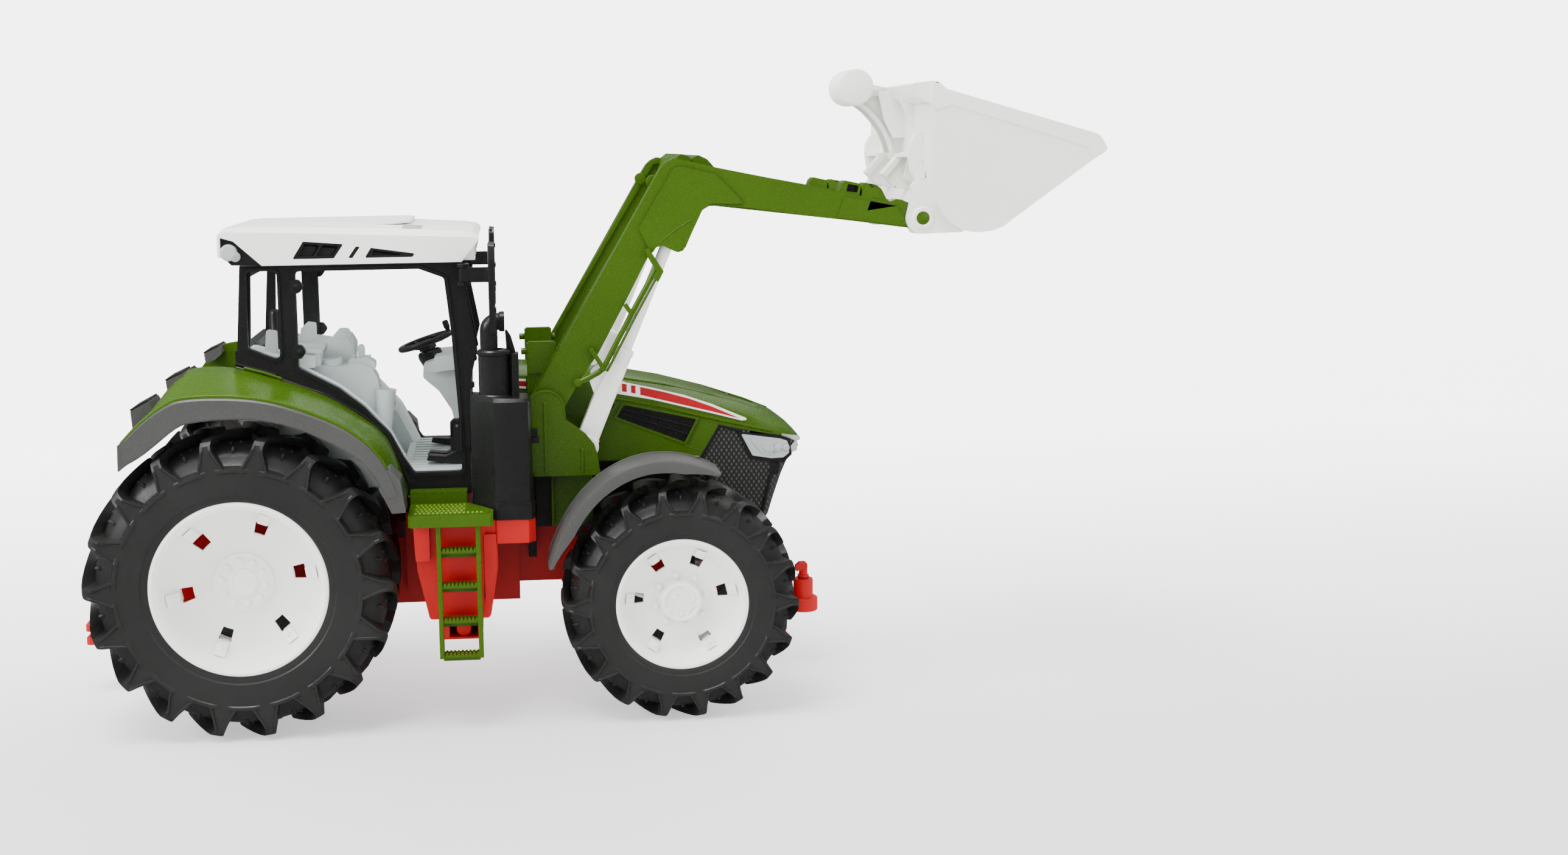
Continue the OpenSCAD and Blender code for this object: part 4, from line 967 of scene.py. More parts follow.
def add_steering_wheel():
    """Rim, three spokes, spinner knob and the hub on its column."""
    j = next(j for j in frame["joints"] if j["name"] == "steering_wheel_turn")
    axis = Vector(j["axis"])
    hub = Vector(((j["pos_m"][0] - REAR_AXLE[0]) / MM, 0, j["pos_m"][2] / MM))
    u = axis.cross(Vector((0, 1, 0))).normalized()
    w = Vector((0, 1, 0))
    wheel = Piece("steering_wheel_rim", "steering_wheel", "black_plastic", "steering_wheel")
    middle = hub + axis * 4.2
    wheel.tube(BLACK, [middle + (u * math.cos(a) + w * math.sin(a)) * 11.2 for a in [2 * math.pi * k / 40
        for k in range(40)]], 1.25, 14, closed=True)
    wheel.spin(BLACK, [(0, 4.6), (2.6, 4.5), (3.6, 3.8), (3.9, 2.6), (3.9, 0.6), (2.4, 0.3), (2.4, -7),
        (0, -7)], hub, axis, 32)
    for turn in (60, 180, 300):
        a = math.radians(turn)
        out = u * math.cos(a) + w * math.sin(a)
        wheel.tube(BLACK, [hub + out * 3 + axis * 3.2, hub + out * 7 + axis * 3.0, hub + out * 11 + axis
            * 4.0], [1.3, 1.0, 1.0], 12)
    knob = middle - u * 10.9
    wheel.spin(BLACK, [(0.9, 0), (1.0, 2), (1.35, 3), (1.4, 5), (1.1, 5.8), (0, 6)], knob, axis, 20)
    wheel.done(bevel=0, angle=35)
    column = Piece("steering_column", "chassis", "black_plastic")
    column.spin(BLACK, [(2.6, -7), (4.4, -6.8), (5.4, -2.4), (5.2, -0.6), (4.3, 0.1), (2.6, 0.1)], hub, axis,
        32)
    column.done(bevel=0.2, angle=30)


add_steering_wheel()


# ---- Rear fenders ----
FENDER_STATIONS = [  # green top at the cab, outer edge of the green, lower edge of the black trim
    ((-43.0, 121.8), (-43.0, 122.6), (-41.0, 114.0)), ((-33.6, 133.2), (-34.4, 131.2), (-33.4, 118.4)),
    ((-24.0, 144.8), (-24.6, 138.0), (-20.6, 128.2)), ((-16.2, 148.2), (-17.0, 140.4), (-13.0, 130.4)),
    ((-1.6, 147.6), (-1.0, 140.6), (0.0, 131.2)), ((16.8, 142.2), (14.0, 138.8), (13.2, 130.2)),
    ((34.6, 135.2), (28.2, 134.4), (26.8, 126.4)), ((49.4, 125.8), (42.2, 128.2), (40.4, 119.8)),
    ((58.0, 118.2), (51.2, 121.8), (48.6, 114.4)), ((62.6, 108.6), (56.4, 116.2), (52.6, 110.4)),
    ((65.0, 101.0), (61.2, 108.6), (57.2, 103.6)), ((66.6, 94.6), (64.4, 100.4), (60.0, 97.6))]


def smooth_line(points, steps=4):
    """A Catmull-Rom curve through points of any dimension, which passes through each of them."""
    pts = [Vector(p) for p in points]
    out = []
    for i in range(len(pts) - 1):
        p0 = pts[max(i - 1, 0)]
        p1, p2 = pts[i], pts[i + 1]
        p3 = pts[min(i + 2, len(pts) - 1)]
        for k in range(steps):
            t = k / steps
            out.append(0.5 * ((2 * p1) + (p2 - p0) * t + (2 * p0 - 5 * p1 + 4 * p2 - p3) * t * t
                + (3 * p1 - p0 - 3 * p2 + p3) * t ** 3))
    out.append(pts[-1])
    return out


def add_fender(side_name, side):
    """Green skin that slopes outwards over the tyre, with the grained black lip below it."""
    tops = smooth_line([s[0] for s in FENDER_STATIONS])
    edges = smooth_line([s[1] for s in FENDER_STATIONS])
    lips = smooth_line([s[2] for s in FENDER_STATIONS])
    green = Piece("fender_skin_" + side_name, "chassis", "green_plastic", "fender_" + side_name)
    sections = []
    for t, e, a in zip(tops, edges, lips):
        drop = max(0.0, t.y - e.y)
        inner = min(t.y - 3.4, max(a.y + 2.6, t.y - 16))
        ring = [(t.x, 46.4, t.y), (t.x, 57, t.y - 0.1 * drop), (t.x * 0.9 + e.x * 0.1, 60.5,
            t.y - 0.22 * drop), (t.x * 0.6 + e.x * 0.4, 67, t.y - 0.5 * drop), (t.x * 0.3 + e.x * 0.7, 73,
            t.y - 0.78 * drop), (e.x, 77.2, e.y + 0.5), (e.x, 78.2, e.y + 0.1), (e.x, 78.4, e.y - 1.1),
            (e.x, 76, e.y - 2.2), (t.x, 50, t.y - 3.4), (t.x, 47.6, inner), (t.x, 46.4, inner)]
        sections.append([(x, y * side, z) for x, y, z in ring])
    green.loft(GREEN, sections)
    # Raised moulding where the slope meets the cab corner
    green.tube(GREEN, [(2, side * 47.4, 147.6), (10, side * 47.6, 145.4), (17, side * 47.6, 142.8)], 0.7, 8)
    green.done(bevel=0.3, angle=32)

    trim = Piece("fender_lip_" + side_name, "chassis", "charcoal_plastic", "fender_trim_" + side_name)
    sections = []
    for e, a in zip(edges, lips):
        ring = [(e.x, 76.8, e.y - 1.0), (e.x, 79.0, e.y - 1.0), (e.x * 0.97 + a.x * 0.03, 79.8, e.y - 1.7),
            (a.x, 79.8, a.y + 0.6), (a.x, 79.2, a.y), (a.x, 72, a.y - 0.1), (a.x, 71.6, a.y + 1.6),
            (a.x, 77.2, a.y + 2.0)]
        sections.append([(x, y * side, z) for x, y, z in ring])
    trim.loft(CHARCOAL, sections)
    # Pointed tail and the broad front end
    trim.plate(CHARCOAL, rounded([(-43.6, 122.2), (-40.4, 124.4), (-38.6, 115.6), (-43.9, 111.6)], 0.4), 44,
        79.6, side=side)
    trim.plate(CHARCOAL, rounded([(58.6, 108.8), (61.4, 109.6), (65.4, 105.2), (67.1, 92.2), (61.6, 91.9),
        (56.8, 102)], [0.5, 0.4, 0.6, 0.6, 0.6, 0.4]), 66, 79.6, side=side)
    trim.done(bevel=0.35, angle=30)

    well = Piece("wheel_arch_" + side_name, "chassis", "black_plastic")
    sections = []
    for a in lips:
        ring = [(a.x, 33, a.y + 1.4), (a.x, 33, a.y + 3), (a.x, 76.5, a.y + 3), (a.x, 76.5, a.y + 1.4)]
        sections.append([(x, y * side, z) for x, y, z in ring])
    well.loft(BLACK, sections)
    # Two dark blocks that stand on the rear slope
    for outline in ([(-42.2, 132.4), (-35.0, 136.2), (-33.4, 133.2), (-37.4, 126.8), (-41.6, 124)],
            [(-27.6, 144.2), (-21.0, 147.2), (-19.4, 144.2), (-22.8, 141.4), (-27.0, 139.8)]):
        well.plate(CHARCOAL, rounded(outline, 0.6), 36, 58, side=side)
        well.plate(BLACK, rounded([(x - 0.5, z + 0.6) for x, z in outline[:2]] + [outline[2], outline[0]],
            0.2), 37, 57, side=side)
    well.done(bevel=0.3, angle=30)


for side_name, side in SIDES:
    add_fender(side_name, side)


# ---- Steps and tanks ----
def add_step(side_name, side):
    """Ladder with toothed treads under a studded platform."""
    step = Piece("ladder_" + side_name, "chassis", "green_plastic", "step_" + side_name)
    deck = [(67.6, 54), (67.6, 76.8), (68.8, 78), (100.4, 78), (101.5, 76.9), (101.5, 68.2), (92.2, 54.2)]
    if side == LEFT:
        deck[5:] = [(101.5, 54)]
    step.plan(GREEN, deck, 85.4, 90.2, side=side)
    step.plan(GREEN, [(69, 54.4), (69, 76.6), (100, 76.6), (100, 69), (91, 54.4)], 90, 90.5, side=side)
    step.plan(GREEN, rounded([(67.6, 47.2), (67.6, 54.2), (91, 54.2), (91, 47.2)], 0.5), 85.4, 95.4,
        side=side)
    # Studs on the platform in paler green: a painted highlight on their tops
    for row in range(5):
        for k in range(17):
            x, y = 70.6 + 1.75 * k + (0.8 if row % 2 else 0), 58.6 + 4.0 * row
            if x < 98.6 and (x < 90.5 or y > 71):
                step.spin(GREEN_STUD_HIGHLIGHT, [(0.55, 0), (0.42, 0.45), (0, 0.5)], (x, side * y, 90.45), (0, 0, 1), 8)
    for k in range(9):
        step.block(GREEN, (69.2 + 2.35 * k, 48.6, 95.3), (70.4 + 2.35 * k, 53, 95.65), side)
    rail = [(78.5, 76.8), (80.4, 76.8), (80.4, 71), (78.5, 71)]
    for dx in (0, 15.8):
        step.plan(GREEN, rounded([(x + dx, y) for x, y in rail], 0.3, 3), 30.8, 85.6, side=side)
    for z in (31, 45.4, 59.8, 74.2):
        step.block(GREEN, (79.6, 70.6, z), (95, 76.4, z + 1.1), side)
        step.plate(GREEN, [(79.8, z - 2.6), (94.8, z - 2.6), (94.8, z + 1.2), (79.8, z + 1.2)], 70.6, 71.4,
            side=side)
        teeth = []
        for k in range(9):
            x = 80.8 + 1.56 * k
            teeth += [(x, z + 1.0), (x + 0.2, z + 2.2), (x + 1.0, z + 2.2), (x + 1.2, z + 1.0)]
        for y in (72.4, 75.6):
            step.plate(GREEN, [(80.4, z + 0.6)] + teeth + [(94.4, z + 0.6)], y, y + 0.9, side=side)
        for k in range(9):
            x = 81.6 + 1.5 * k
            step.block(GREEN, (x, 72.6, z + 1.0), (x + 0.5, 76.2, z + 1.9), side)
    step.done(bevel=0.22, angle=30)

    tank = Piece("tank_shell_" + side_name, "chassis", "red_plastic", "tank_" + side_name)
    body = rounded([(70, 85.2), (102.6, 85.2), (103, 66), (99.6, 46), (98.6, 44.6), (96, 44.6), (96, 36),
        (79.2, 36), (79.2, 44.6), (74.6, 44.6), (70, 66)], [0, 0, 4, 1, 1, 0.6, 0.8, 0.8, 0.6, 1.5, 3], 4)
    tank.plate(RED, body, 30, 66.4, [[(82.4, 36.9), (94, 36.9), (94, 43.2), (82.4, 43.2)]], side)
    tank.plate(RED, rounded([(71.4, 84), (98, 84), (98, 66), (96, 47.4), (77, 47.4), (72.8, 66)], 1.6), 66,
        67.6, side=side)
    tank.plate(RED, rounded([(69.2, 85.2), (75.6, 85.2), (75.6, 70), (69.8, 70)], 0.8), 60, 70.8, side=side)
    tank.plate(RED, rounded([(97.4, 80), (102.4, 80), (102.4, 66), (99.4, 52), (97.4, 52)], 1.0), 62, 68.4,
        side=side)
    # Red darkened as painted shade on the panel in the recess behind the tank's window
    tank.plate(RED_PAINTED_SHADE, [(82, 36.5), (94.4, 36.5), (94.4, 43.6), (82, 43.6)], 34, 52, side=side)
    tank.rod(RED, (88.2, side * 51, 40), (88.2, side * 65.4, 40), 3.1, 24, 0.6)
    tank.done(bevel=0.45, angle=30)


# Paler green for the step's studs: a painted highlight
GREEN_STUD_HIGHLIGHT = material("step_studs", (0.16, 0.27, 0.02), 0.35, 700, 0.05, 0.04)
for side_name, side in SIDES:
    add_step(side_name, side)

# ---- Exhaust and mirrors ----
HOUSING = [(93.2, 54), (102.6, 66.6), (104, 67.2), (115.4, 67.2), (116.6, 66.6), (118, 63.2), (118, 47.5),
    (93.2, 47.5)]


def add_exhaust():
    """Tall black housing with the silencer drum and the bent tail pipe."""
    box = Piece("exhaust_box", "chassis", "black_plastic", "exhaust_housing")
    box.plan(BLACK, HOUSING, 92, 133.4, side=RIGHT)
    top = [(x, y) for x, y in HOUSING]
    box.loft(BLACK, [[(x, -y, 133.2) for x, y in top], [(x + (105.6 - x) * 0.10, -(y + (57 - y) * 0.10),
        135.6 - (x - 93) * 0.045) for x, y in top]])
    flange = [(92.8, 54), (102.6, 67.4), (103.6, 67.9), (115.8, 67.9), (117.2, 67.2), (118.8, 63.4),
        (118.8, 47.4), (92.8, 47.4)]
    box.plan(BLACK, flange, 85.4, 91.2, side=RIGHT)
    box.plan(BLACK, [(x + (106 - x) * 0.02, y + (57 - y) * 0.02) for x, y in flange], 91, 92.2, side=RIGHT)
    box.spin(BLACK, [(0, 0), (7.0, 0), (7.0, 0.9), (6.3, 1.6), (6.25, 17.4), (6.9, 17.8), (6.9, 19.0),
        (6.2, 19.6), (4.4, 19.8), (4.2, 18.4), (0, 18.4)], (103.3, -55, 134), (0, 0, 1), 48)
    box.block(BLACK, (110.4, -58.6, 134), (113.4, -50, 152), soft=0.8)
    box.plate(BLACK, rounded([(109.6, 134), (112.4, 134), (112.2, 152.6), (110.6, 158.4), (109, 161),
        (108.2, 161)], 0.5), -52.6, -49)
    box.block(BLACK, (117.6, -61.4, 115.6), (121, -54.6, 117.8), soft=0.4)
    box.block(BLACK, (117.6, -60.2, 117.4), (120.4, -55.6, 121), soft=0.4)
    box.plate(BLACK, rounded([(92.9, 101.6), (94.6, 101.6), (94.6, 96.6), (92.9, 96.6)], 0.4), -55.4, -53)
    box.done(bevel=0.5, angle=28)

    pipe = Piece("exhaust_tailpipe", "chassis", "black_plastic", "exhaust_pipe")
    bend = [(101.6, -55, 153.4), (101.6, -55, 158), (101.6, -55, 161.4)]
    bend += [(105.2 - 3.6 * math.cos(math.radians(a)), -55, 161.4 + 3.6 * math.sin(math.radians(a)))
        for a in (15, 30, 45, 60, 75, 90)]
    pipe.tube(BLACK, bend + [(106.4, -55, 165)], [3.6, 3.6, 3.6] + [3.6, 3.6, 3.55, 3.5, 3.5, 3.5, 3.5], 28)
    pipe.spin(BLACK, [(3.4, -0.6), (4.1, 0), (4.15, 1.7), (3.7, 1.9), (3.3, 1.2), (3.2, -0.6), (0, -0.6)],
        (106.2, -55, 165), (1, 0, 0), 32)
    pipe.done(bevel=0, angle=35)


def add_mirror(side_name, side):
    """Tall mirror on a folding bracket."""
    mirror = Piece("mirror_head_" + side_name, "mirror_" + side_name, "black_plastic", "mirror_" + side_name)
    mirror.plan(BLACK, rounded([(89.8, 50.2), (93.4, 50), (103.6, 53), (104, 62), (102, 62), (101.4, 54.8),
        (93, 54.4), (90.4, 54.4)], [1.6, 1, 1, 0.4, 0.4, 0.8, 1, 1.6]), 181.4, 186.4, side=side)
    mirror.plan(BLACK, rounded([(92, 52.8), (103, 53.6), (103, 54.6), (92, 53.8)], 0.3), 180.9, 187.0,
        side=side)
    mirror.across(BLACK, rounded([(60.8, 161.6), (77.8, 161.4), (78, 191.4), (76.2, 197.4), (62.6, 197.6),
        (60.7, 195)], [1.6, 1.6, 2, 1.8, 1.8, 2]), 103, 104.7, side=side)
    frame_edge = rounded([(60.6, 161.4), (78, 161.2), (78.1, 191.4), (76.3, 197.6), (62.4, 197.8),
        (60.5, 195)], [1.6, 1.6, 2, 1.8, 1.8, 2])
    mirror.across(BLACK, frame_edge, 102.4, 103.2, [inset(frame_edge, 1.0)], side=side)
    for z in (170, 179, 188):
        mirror.block(BLACK, (104.4, 64, z), (105.1, 74.6, z + 1.6), side)
    mirror.across(GLASS, inset(frame_edge, 1.0), 102.7, 103.1, side=side)
    mirror.rod(BLACK, (102.9, side * 61.8, 162), (102.9, side * 61.8, 197), 0.9, 12)
    mirror.done(bevel=0.25, angle=30)


GLASS = material("mirror_face", (0.10, 0.11, 0.12), 0.12, 500, 0.02, 0.02)
add_exhaust()
for side_name, side in SIDES:
    add_mirror(side_name, side)
shelf = Piece("housing_bracket", "chassis", "red_plastic")
shelf.plan(RED, rounded([(98.8, 30), (98.8, 63.6), (102.8, 67), (115.8, 67), (118.6, 63.4), (118.6, 29)],
    0.4), 75.6, 85.3, side=RIGHT)
shelf.done(bevel=0.5, angle=30)

# ---- Bonnet ----
BONNET_STATIONS = [  # x, underside, shoulder, top in the middle, half width
    (112, 101, 139.6, 141.5, 26), (130, 101, 138.0, 140.0, 26), (159, 101, 134.0, 136.3, 26),
    (172, 101, 131.6, 133.9, 26), (184, 101, 128.6, 131.2, 26), (191, 101.6, 126.6, 129.2, 26),
    (199, 115.2, 124.2, 126.6, 26), (212, 112.6, 119.6, 122.4, 26), (222, 110.5, 115.6, 118.6, 25.7),
    (227, 109.2, 113.2, 116.0, 24), (231.5, 107.6, 110.6, 112.6, 19.5), (235, 106.0, 108, 109.0, 13),
    (237, 105.2, 106.2, 106.6, 6.5)]
STRIPE = [(154.4, 135.2), (158.4, 135.2), (158.9, 134.8), (172, 131.8), (184, 128.7), (196, 124.5),
    (210.6, 118.1), (210.9, 117.2), (208.8, 117.0), (196, 120.5), (184, 123.6), (170, 127.2), (154.4, 130.2)]
STRIPE_RED = [[(157.4, 134.3), (159.4, 134.0), (159.4, 130.6), (157.4, 131.0)], [(161.3, 133.6),
    (163.2, 133.2), (163.2, 129.9), (161.3, 130.3)], [(165.2, 132.7), (175, 130.4), (186, 127.2),
    (196, 123.4), (208.2, 117.9), (196, 121.3), (184, 124.4), (165.2, 129.3)]]
VENT = [(158, 125.2), (189, 118.2), (184, 108.4), (155, 120)]
SMALL_VENT = [(149.6, 126.6), (154.4, 125.8), (151.2, 120.8), (147, 121.8)]


def add_bonnet():
    """Green hood with crowned top, side flutes, stripe stickers and framed vents."""
    hood = Piece("hood", "bonnet", "green_plastic", "bonnet")
    sections = []
    for x, low, shoulder, top, half in BONNET_STATIONS:
        w = half - 0.4
        ring = [(-w, low), (-w, shoulder - 2.2), (-w + 0.5, shoulder - 0.7), (-w + 2.0, shoulder),
            (-w * 0.62, top - 0.7), (-w * 0.56, top - 0.25), (0, top), (w * 0.56, top - 0.25),
            (w * 0.62, top - 0.7), (w - 2.0, shoulder), (w - 0.5, shoulder - 0.7), (w, shoulder - 2.2),
            (w, low), (w - 2.2, low), (w - 2.2, shoulder - 3.4), (w * 0.5, top - 3.2), (0, top - 3),
            (-w * 0.5, top - 3.2), (-w + 2.2, shoulder - 3.4), (-w + 2.2, low)]
        ring = [(y, min(max(z, low), top) if abs(y) < w - 2.3 else max(z, low)) for y, z in ring]
        sections.append([(x, y, z) for y, z in ring])
    hood.loft(GREEN, sections)
    for side in (RIGHT, LEFT):
        # Raised lower panel under the slanting crease, and the flute above the vents
        hood.plate(GREEN, rounded([(112, 121.5), (146.5, 121.5), (150.6, 120.6), (187.6, 105.2),
            (190.4, 101.9), (112, 101.3)], [0, 4, 3, 1, 0.5, 0]), 24, 26.0, side=side)
        hood.tube(GREEN, [Vector((x, side * 25.5, z)) for x, z in ((150, 128.6), (160, 127.0), (175, 123.9),
            (190, 119.8), (205, 116.2), (222, 112.2))], 0.75, 10)
        hood.tube(GREEN, [Vector((x, side * 25.6, z)) for x, z in ((150.6, 120.9), (168, 113.6),
            (187.4, 105.4))], 0.55, 10)
        # Raised frames round the vents
        for outline in (VENT, SMALL_VENT):
            hood.plate(GREEN, inset(outline, -1.0), 25.0, 26.5, [rounded(outline, 0.5, 3)], side)
        # Long ridges and the sunk facet on top
        hood.tube(GREEN, [Vector((x, side * y, z)) for x, y, z in ((158, 17.6, 135.5), (176, 16.6, 132.2),
            (196, 14.6, 127.0), (214, 12.0, 121.2), (225, 9.6, 116.9))], 0.6, 10)
        hood.loft(GREEN, [[(189, side * 21, 127.0), (189, side * 9, 129.4), (189, side * 9, 126)],
            [(206, side * 19.4, 121.8), (206, side * 8, 124.6), (206, side * 8, 120)]])
        hood.loft(GREEN, [[(207, side * 18.4, 121.6), (207, side * 6, 124.4), (207, side * 6, 120)],
            [(218, side * 15.6, 117.9), (218, side * 5, 120.6), (218, side * 5, 117)]])
    hood.loft(GREY_LIP, [[(226.4, -23.8, 108.6), (226.4, -24.4, 110.6), (226.4, 24.4, 110.6), (226.4, 23.8,
        108.6)], [(231.8, -19.6, 107.0), (231.8, -20, 109.0), (231.8, 20, 109.0), (231.8, 19.6, 107.0)],
        [(235.4, -12.8, 105.4), (235.4, -13, 107.4), (235.4, 13, 107.4), (235.4, 12.8, 105.4)],
        [(237.4, -6.4, 104.6), (237.4, -6.4, 106.0), (237.4, 6.4, 106.0), (237.4, 6.4, 104.6)]])
    for y in (10.5, -10.5):
        hood.block(GREEN, (115.6, y - 2.5, 133.6), (120.4, y + 2.5, 140), soft=0.6)
    hood.done(bevel=0.35, angle=26)

    decal = Piece("hood_stripes", "bonnet", "white_plastic")
    for side in (RIGHT, LEFT):
        decal.plate(STICKER_WHITE, STRIPE, 25.55, 25.95, side=side)
        decal.plate(STICKER_WHITE, [(112.2, 141.2 - 3.6), (116.6, 140.9 - 3.6), (116.6, 133.2),
            (112.2, 133.6)], 25.55, 25.95, side=side)
        for red in STRIPE_RED + [[(112.2, 136.7), (116.6, 136.4), (116.6, 134.2), (112.2, 134.5)]]:
            decal.plate(STICKER_RED, red, 25.9, 26.04, side=side)
    decal.done(bevel=0, angle=30)

    vents = Piece("vent_slats", "bonnet", "mesh_black", "bonnet_vents")
    for side in (RIGHT, LEFT):
        for outline, count in ((VENT, 16), (SMALL_VENT, 3)):
            vents.plate(BLACK, outline, 23.8, 25.85, side=side)
            a, b, c, d = [Vector(p) for p in outline]
            for k in range(count):
                s, e = (k + 0.18) / count, (k + 0.72) / count
                lean = 0.05
                top0, top1 = a.lerp(b, min(1, s + lean)), a.lerp(b, min(1, e + lean))
                low0, low1 = d.lerp(c, s), d.lerp(c, e)
                vents.loft(BLACK, [[(top0.x, side * 26.5, top0.y), (top1.x, side * 26.0, top1.y),
                    (top1.x, side * 25.4, top1.y), (top0.x, side * 25.4, top0.y)],
                    [(low0.x, side * 26.5, low0.y), (low1.x, side * 26.0, low1.y), (low1.x, side * 25.4,
                    low1.y), (low0.x, side * 25.4, low0.y)]])
            if count > 5:
                for share in (0.34, 0.67):
                    p, q = a.lerp(d, share), b.lerp(c, share)
                    vents.tube(BLACK, [(p.x, side * 26.3, p.y), (q.x, side * 26.3, q.y)], 0.35, 8)
    vents.done(bevel=0.15, angle=30)

    front = Piece("grille_shell", "bonnet", "mesh_black", "grille")
    levels = [  # height, rear end, side corner, nose
        (72.2, 204.2, 217, 223.4), (80, 200.6, 219.6, 225.8), (90, 196.2, 222.4, 229.2),
        (97.4, 193.2, 224.4, 232.4), (101.5, 191.4, 225.2, 234.2), (105.2, 193.6, 225.8, 236.0)]
    rings = []
    for z, rear, corner, nose in levels:
        half = [(rear, 25.2), (corner - 3, 25.2), (corner, 23.6), ((corner * 0.5 + nose * 0.5), 16.6),
            (nose - 0.7, 8), (nose, 3)]
        rings.append([(x, -y, z) for x, y in half] + [(x, y, z) for x, y in half[::-1]] + [(rear, 20, z),
            (rear, -20, z)])
    front.loft(MESH, rings)
    upper = rounded([(199.4, 115.4), (226, 109.8), (232, 107.4), (226, 100.4), (190.8, 101.2)], 0.5)
    for side in (RIGHT, LEFT):
        front.plate(MESH, upper, 22, 25.3, side=side)
        # Plain border round the mesh, and the lamp's black surround
        front.tube(BLACK, [Vector((x, side * 25.2, z)) for x, z in ((203.6, 74), (196, 90), (191.3, 101.6),
            (199.2, 115.0), (208, 112.6))], 0.8, 10)
        front.tube(BLACK, [Vector(p) for p in ((222.4, side * 25.1, 97.4), (218.6, side * 25.0, 80),
            (216.6, side * 25.0, 72.6))], 0.7, 10)
        surround = [(206.6, 112.2), (212.4, 100.0), (226.8, 98.0), (230.6, 101.6), (229.6, 108.6),
            (226, 109.9)]
        front.plate(BLACK, rounded(surround, 0.6), 24, 25.75, side=side)
        front.plate(BLACK, rounded([(221.4, 98.6), (225.4, 97.8), (224.4, 92.6), (221, 93.6)], 0.4), 22,
            25.5, side=side)
    front.plate(BLACK, [(228, 105.6), (235.4, 104.9), (236.2, 102.6), (233.4, 99.4), (228, 99.4)], -9, 9)
    front.done(bevel=0.3, angle=32)

    lamps = Piece("headlamp_glass", "bonnet", "lamp_plastic", "headlamps")
    for side in (RIGHT, LEFT):
        glass = [(208.4, 111.2), (213.4, 101.6), (221.6, 100.2), (226.8, 100.4), (229.4, 102.4),
            (228.6, 107.6), (225.4, 108.7)]
        lamps.plate(LAMP, rounded(glass, [0.6, 1.2, 2, 1.4, 1.2, 1, 1], 4), 25.4, 26.0, side=side)
        lamps.plate(LAMP, rounded([(211.6, 109.6), (217.6, 102.4), (222.6, 102.0), (222.4, 107.8)],
            [1, 1.6, 2, 2], 5), 25.8, 26.4, side=side)
        lamps.plate(LAMP, rounded([(216, 106.4), (219.6, 103.4), (223, 103.2), (222.6, 106)], 1.2, 4), 26.2,
            26.8, side=side)
        for x, r in ((224.6, 2.35), (228.0, 1.9)):
            lamps.spin(LAMP, [(0, 1.1), (r * 0.55, 0.95), (r * 0.8, 0.55), (r * 0.84, 0.35), (r, 0.5),
                (r, -1)], (x, side * 25.6, 104.6), (0.25, side, 0), 24)
        lamps.loft(LAMP, [[(229.4, side * 23.8, 101.4), (228.8, side * 24.2, 107.6), (227, side * 22, 107.6),
            (227, side * 22, 101.4)], [(235.2, side * 12, 101.0), (235.2, side * 12, 105.4), (233, side * 12,
            105.4), (233, side * 12, 101.0)]])
    lamps.done(bevel=0.3, angle=30)


GREY_LIP = material("bonnet_lip", (0.34, 0.37, 0.32), 0.3, 700, 0.04, 0.04)
add_bonnet()


# ---- Loader brackets, arms and cylinders ----
ARM_PIVOT = (124.2, 127.0)
TIP_PIVOT = (282.0, 203.0)
TUBE_PIVOT = (141.5, 110.0)
ARM_IN, ARM_OUT = 32.0, 42.0


def add_bracket(side_name, side):
    """Two plates on a flange, with ribs, the tower and the ends of the pivot pins."""
    bracket = Piece("bracket_shell_" + side_name, "chassis", "green_plastic", "loader_bracket_" + side_name)
    top = arc(*ARM_PIVOT, 8, 0, 180, 20)
    outline = top + [(116.2, 99), (146.5, 99), (145.6, 107), (144.2, 111.6), (140.6, 116.2), (136.4, 119.6),
        (132.6, 122.2)]
    for y0, y1 in ((42.5, 44.3), (29.5, 31.5)):
        bracket.plate(GREEN, outline, y0, y1, side=side)
    bracket.block(GREEN, (118.8, 26, 98.6), (146.5, 44.6, 100.6), side, 0.4)
    bracket.block(GREEN, (126.4, 26.8, 74), (144, 28.2, 98.8), side, 0.3)
    bracket.block(BLACK, (119.6, 27.2, 74), (126.6, 29.4, 98.8), side, 0.3)
    bracket.block(GREEN, (126.2, 26.6, 74.2), (127.2, 31.6, 98.6), side, 0.2)
    bracket.block(GREEN, (121, 20.2, 74), (131, 27.2, 84), side, 0.4)
    bracket.block(GREEN, (117.2, 26.6, 126), (129.4, 31.5, 153), side, 0.6)
    bracket.block(GREEN, (117.8, 27.2, 152.8), (128.8, 31.0, 153.6), side, 0.6)
    bracket.block(GREEN, (117.4, 31.2, 140.4), (125.6, 32, 143), side, 0.3)
    for x, end in ((114.8, 117.4), (129.2, 131.2)):
        bracket.rod(GREEN, (x, side * 29, 149.6), (end, side * 29, 149.6), 1.4, 18)
    # Ribs on the outer face, each with a small ball on top
    for x0, x1, z1 in ((123.3, 124.8, 129.2), (138.5, 139.7, 109.4)):
        bracket.block(GREEN, (x0, 44, 100), (x1, 45.0, z1), side, 0.2)
        bracket.dome(GREEN, ((x0 + x1) / 2, side * 44.5, z1), (0.8, 0.6, 0.8))
    bracket.tube(GREEN, [(x, side * 44.2, z) for x, z in ((116.6, 126), *arc(*ARM_PIVOT, 7.4, 170, 10, 14),
        (132.2, 122.4))], 0.35, 8)
    bracket.done(bevel=0.4, angle=30)
    ear = Piece("cylinder_ear_" + side_name, "lift_tube_" + side_name, "white_plastic")
    ear.rod(WHITE, (145.0, side * 33.4, 112.2), (145.0, side * 40.6, 112.2), 1.5, 16, 0.4)
    ear.done(bevel=0, angle=35)


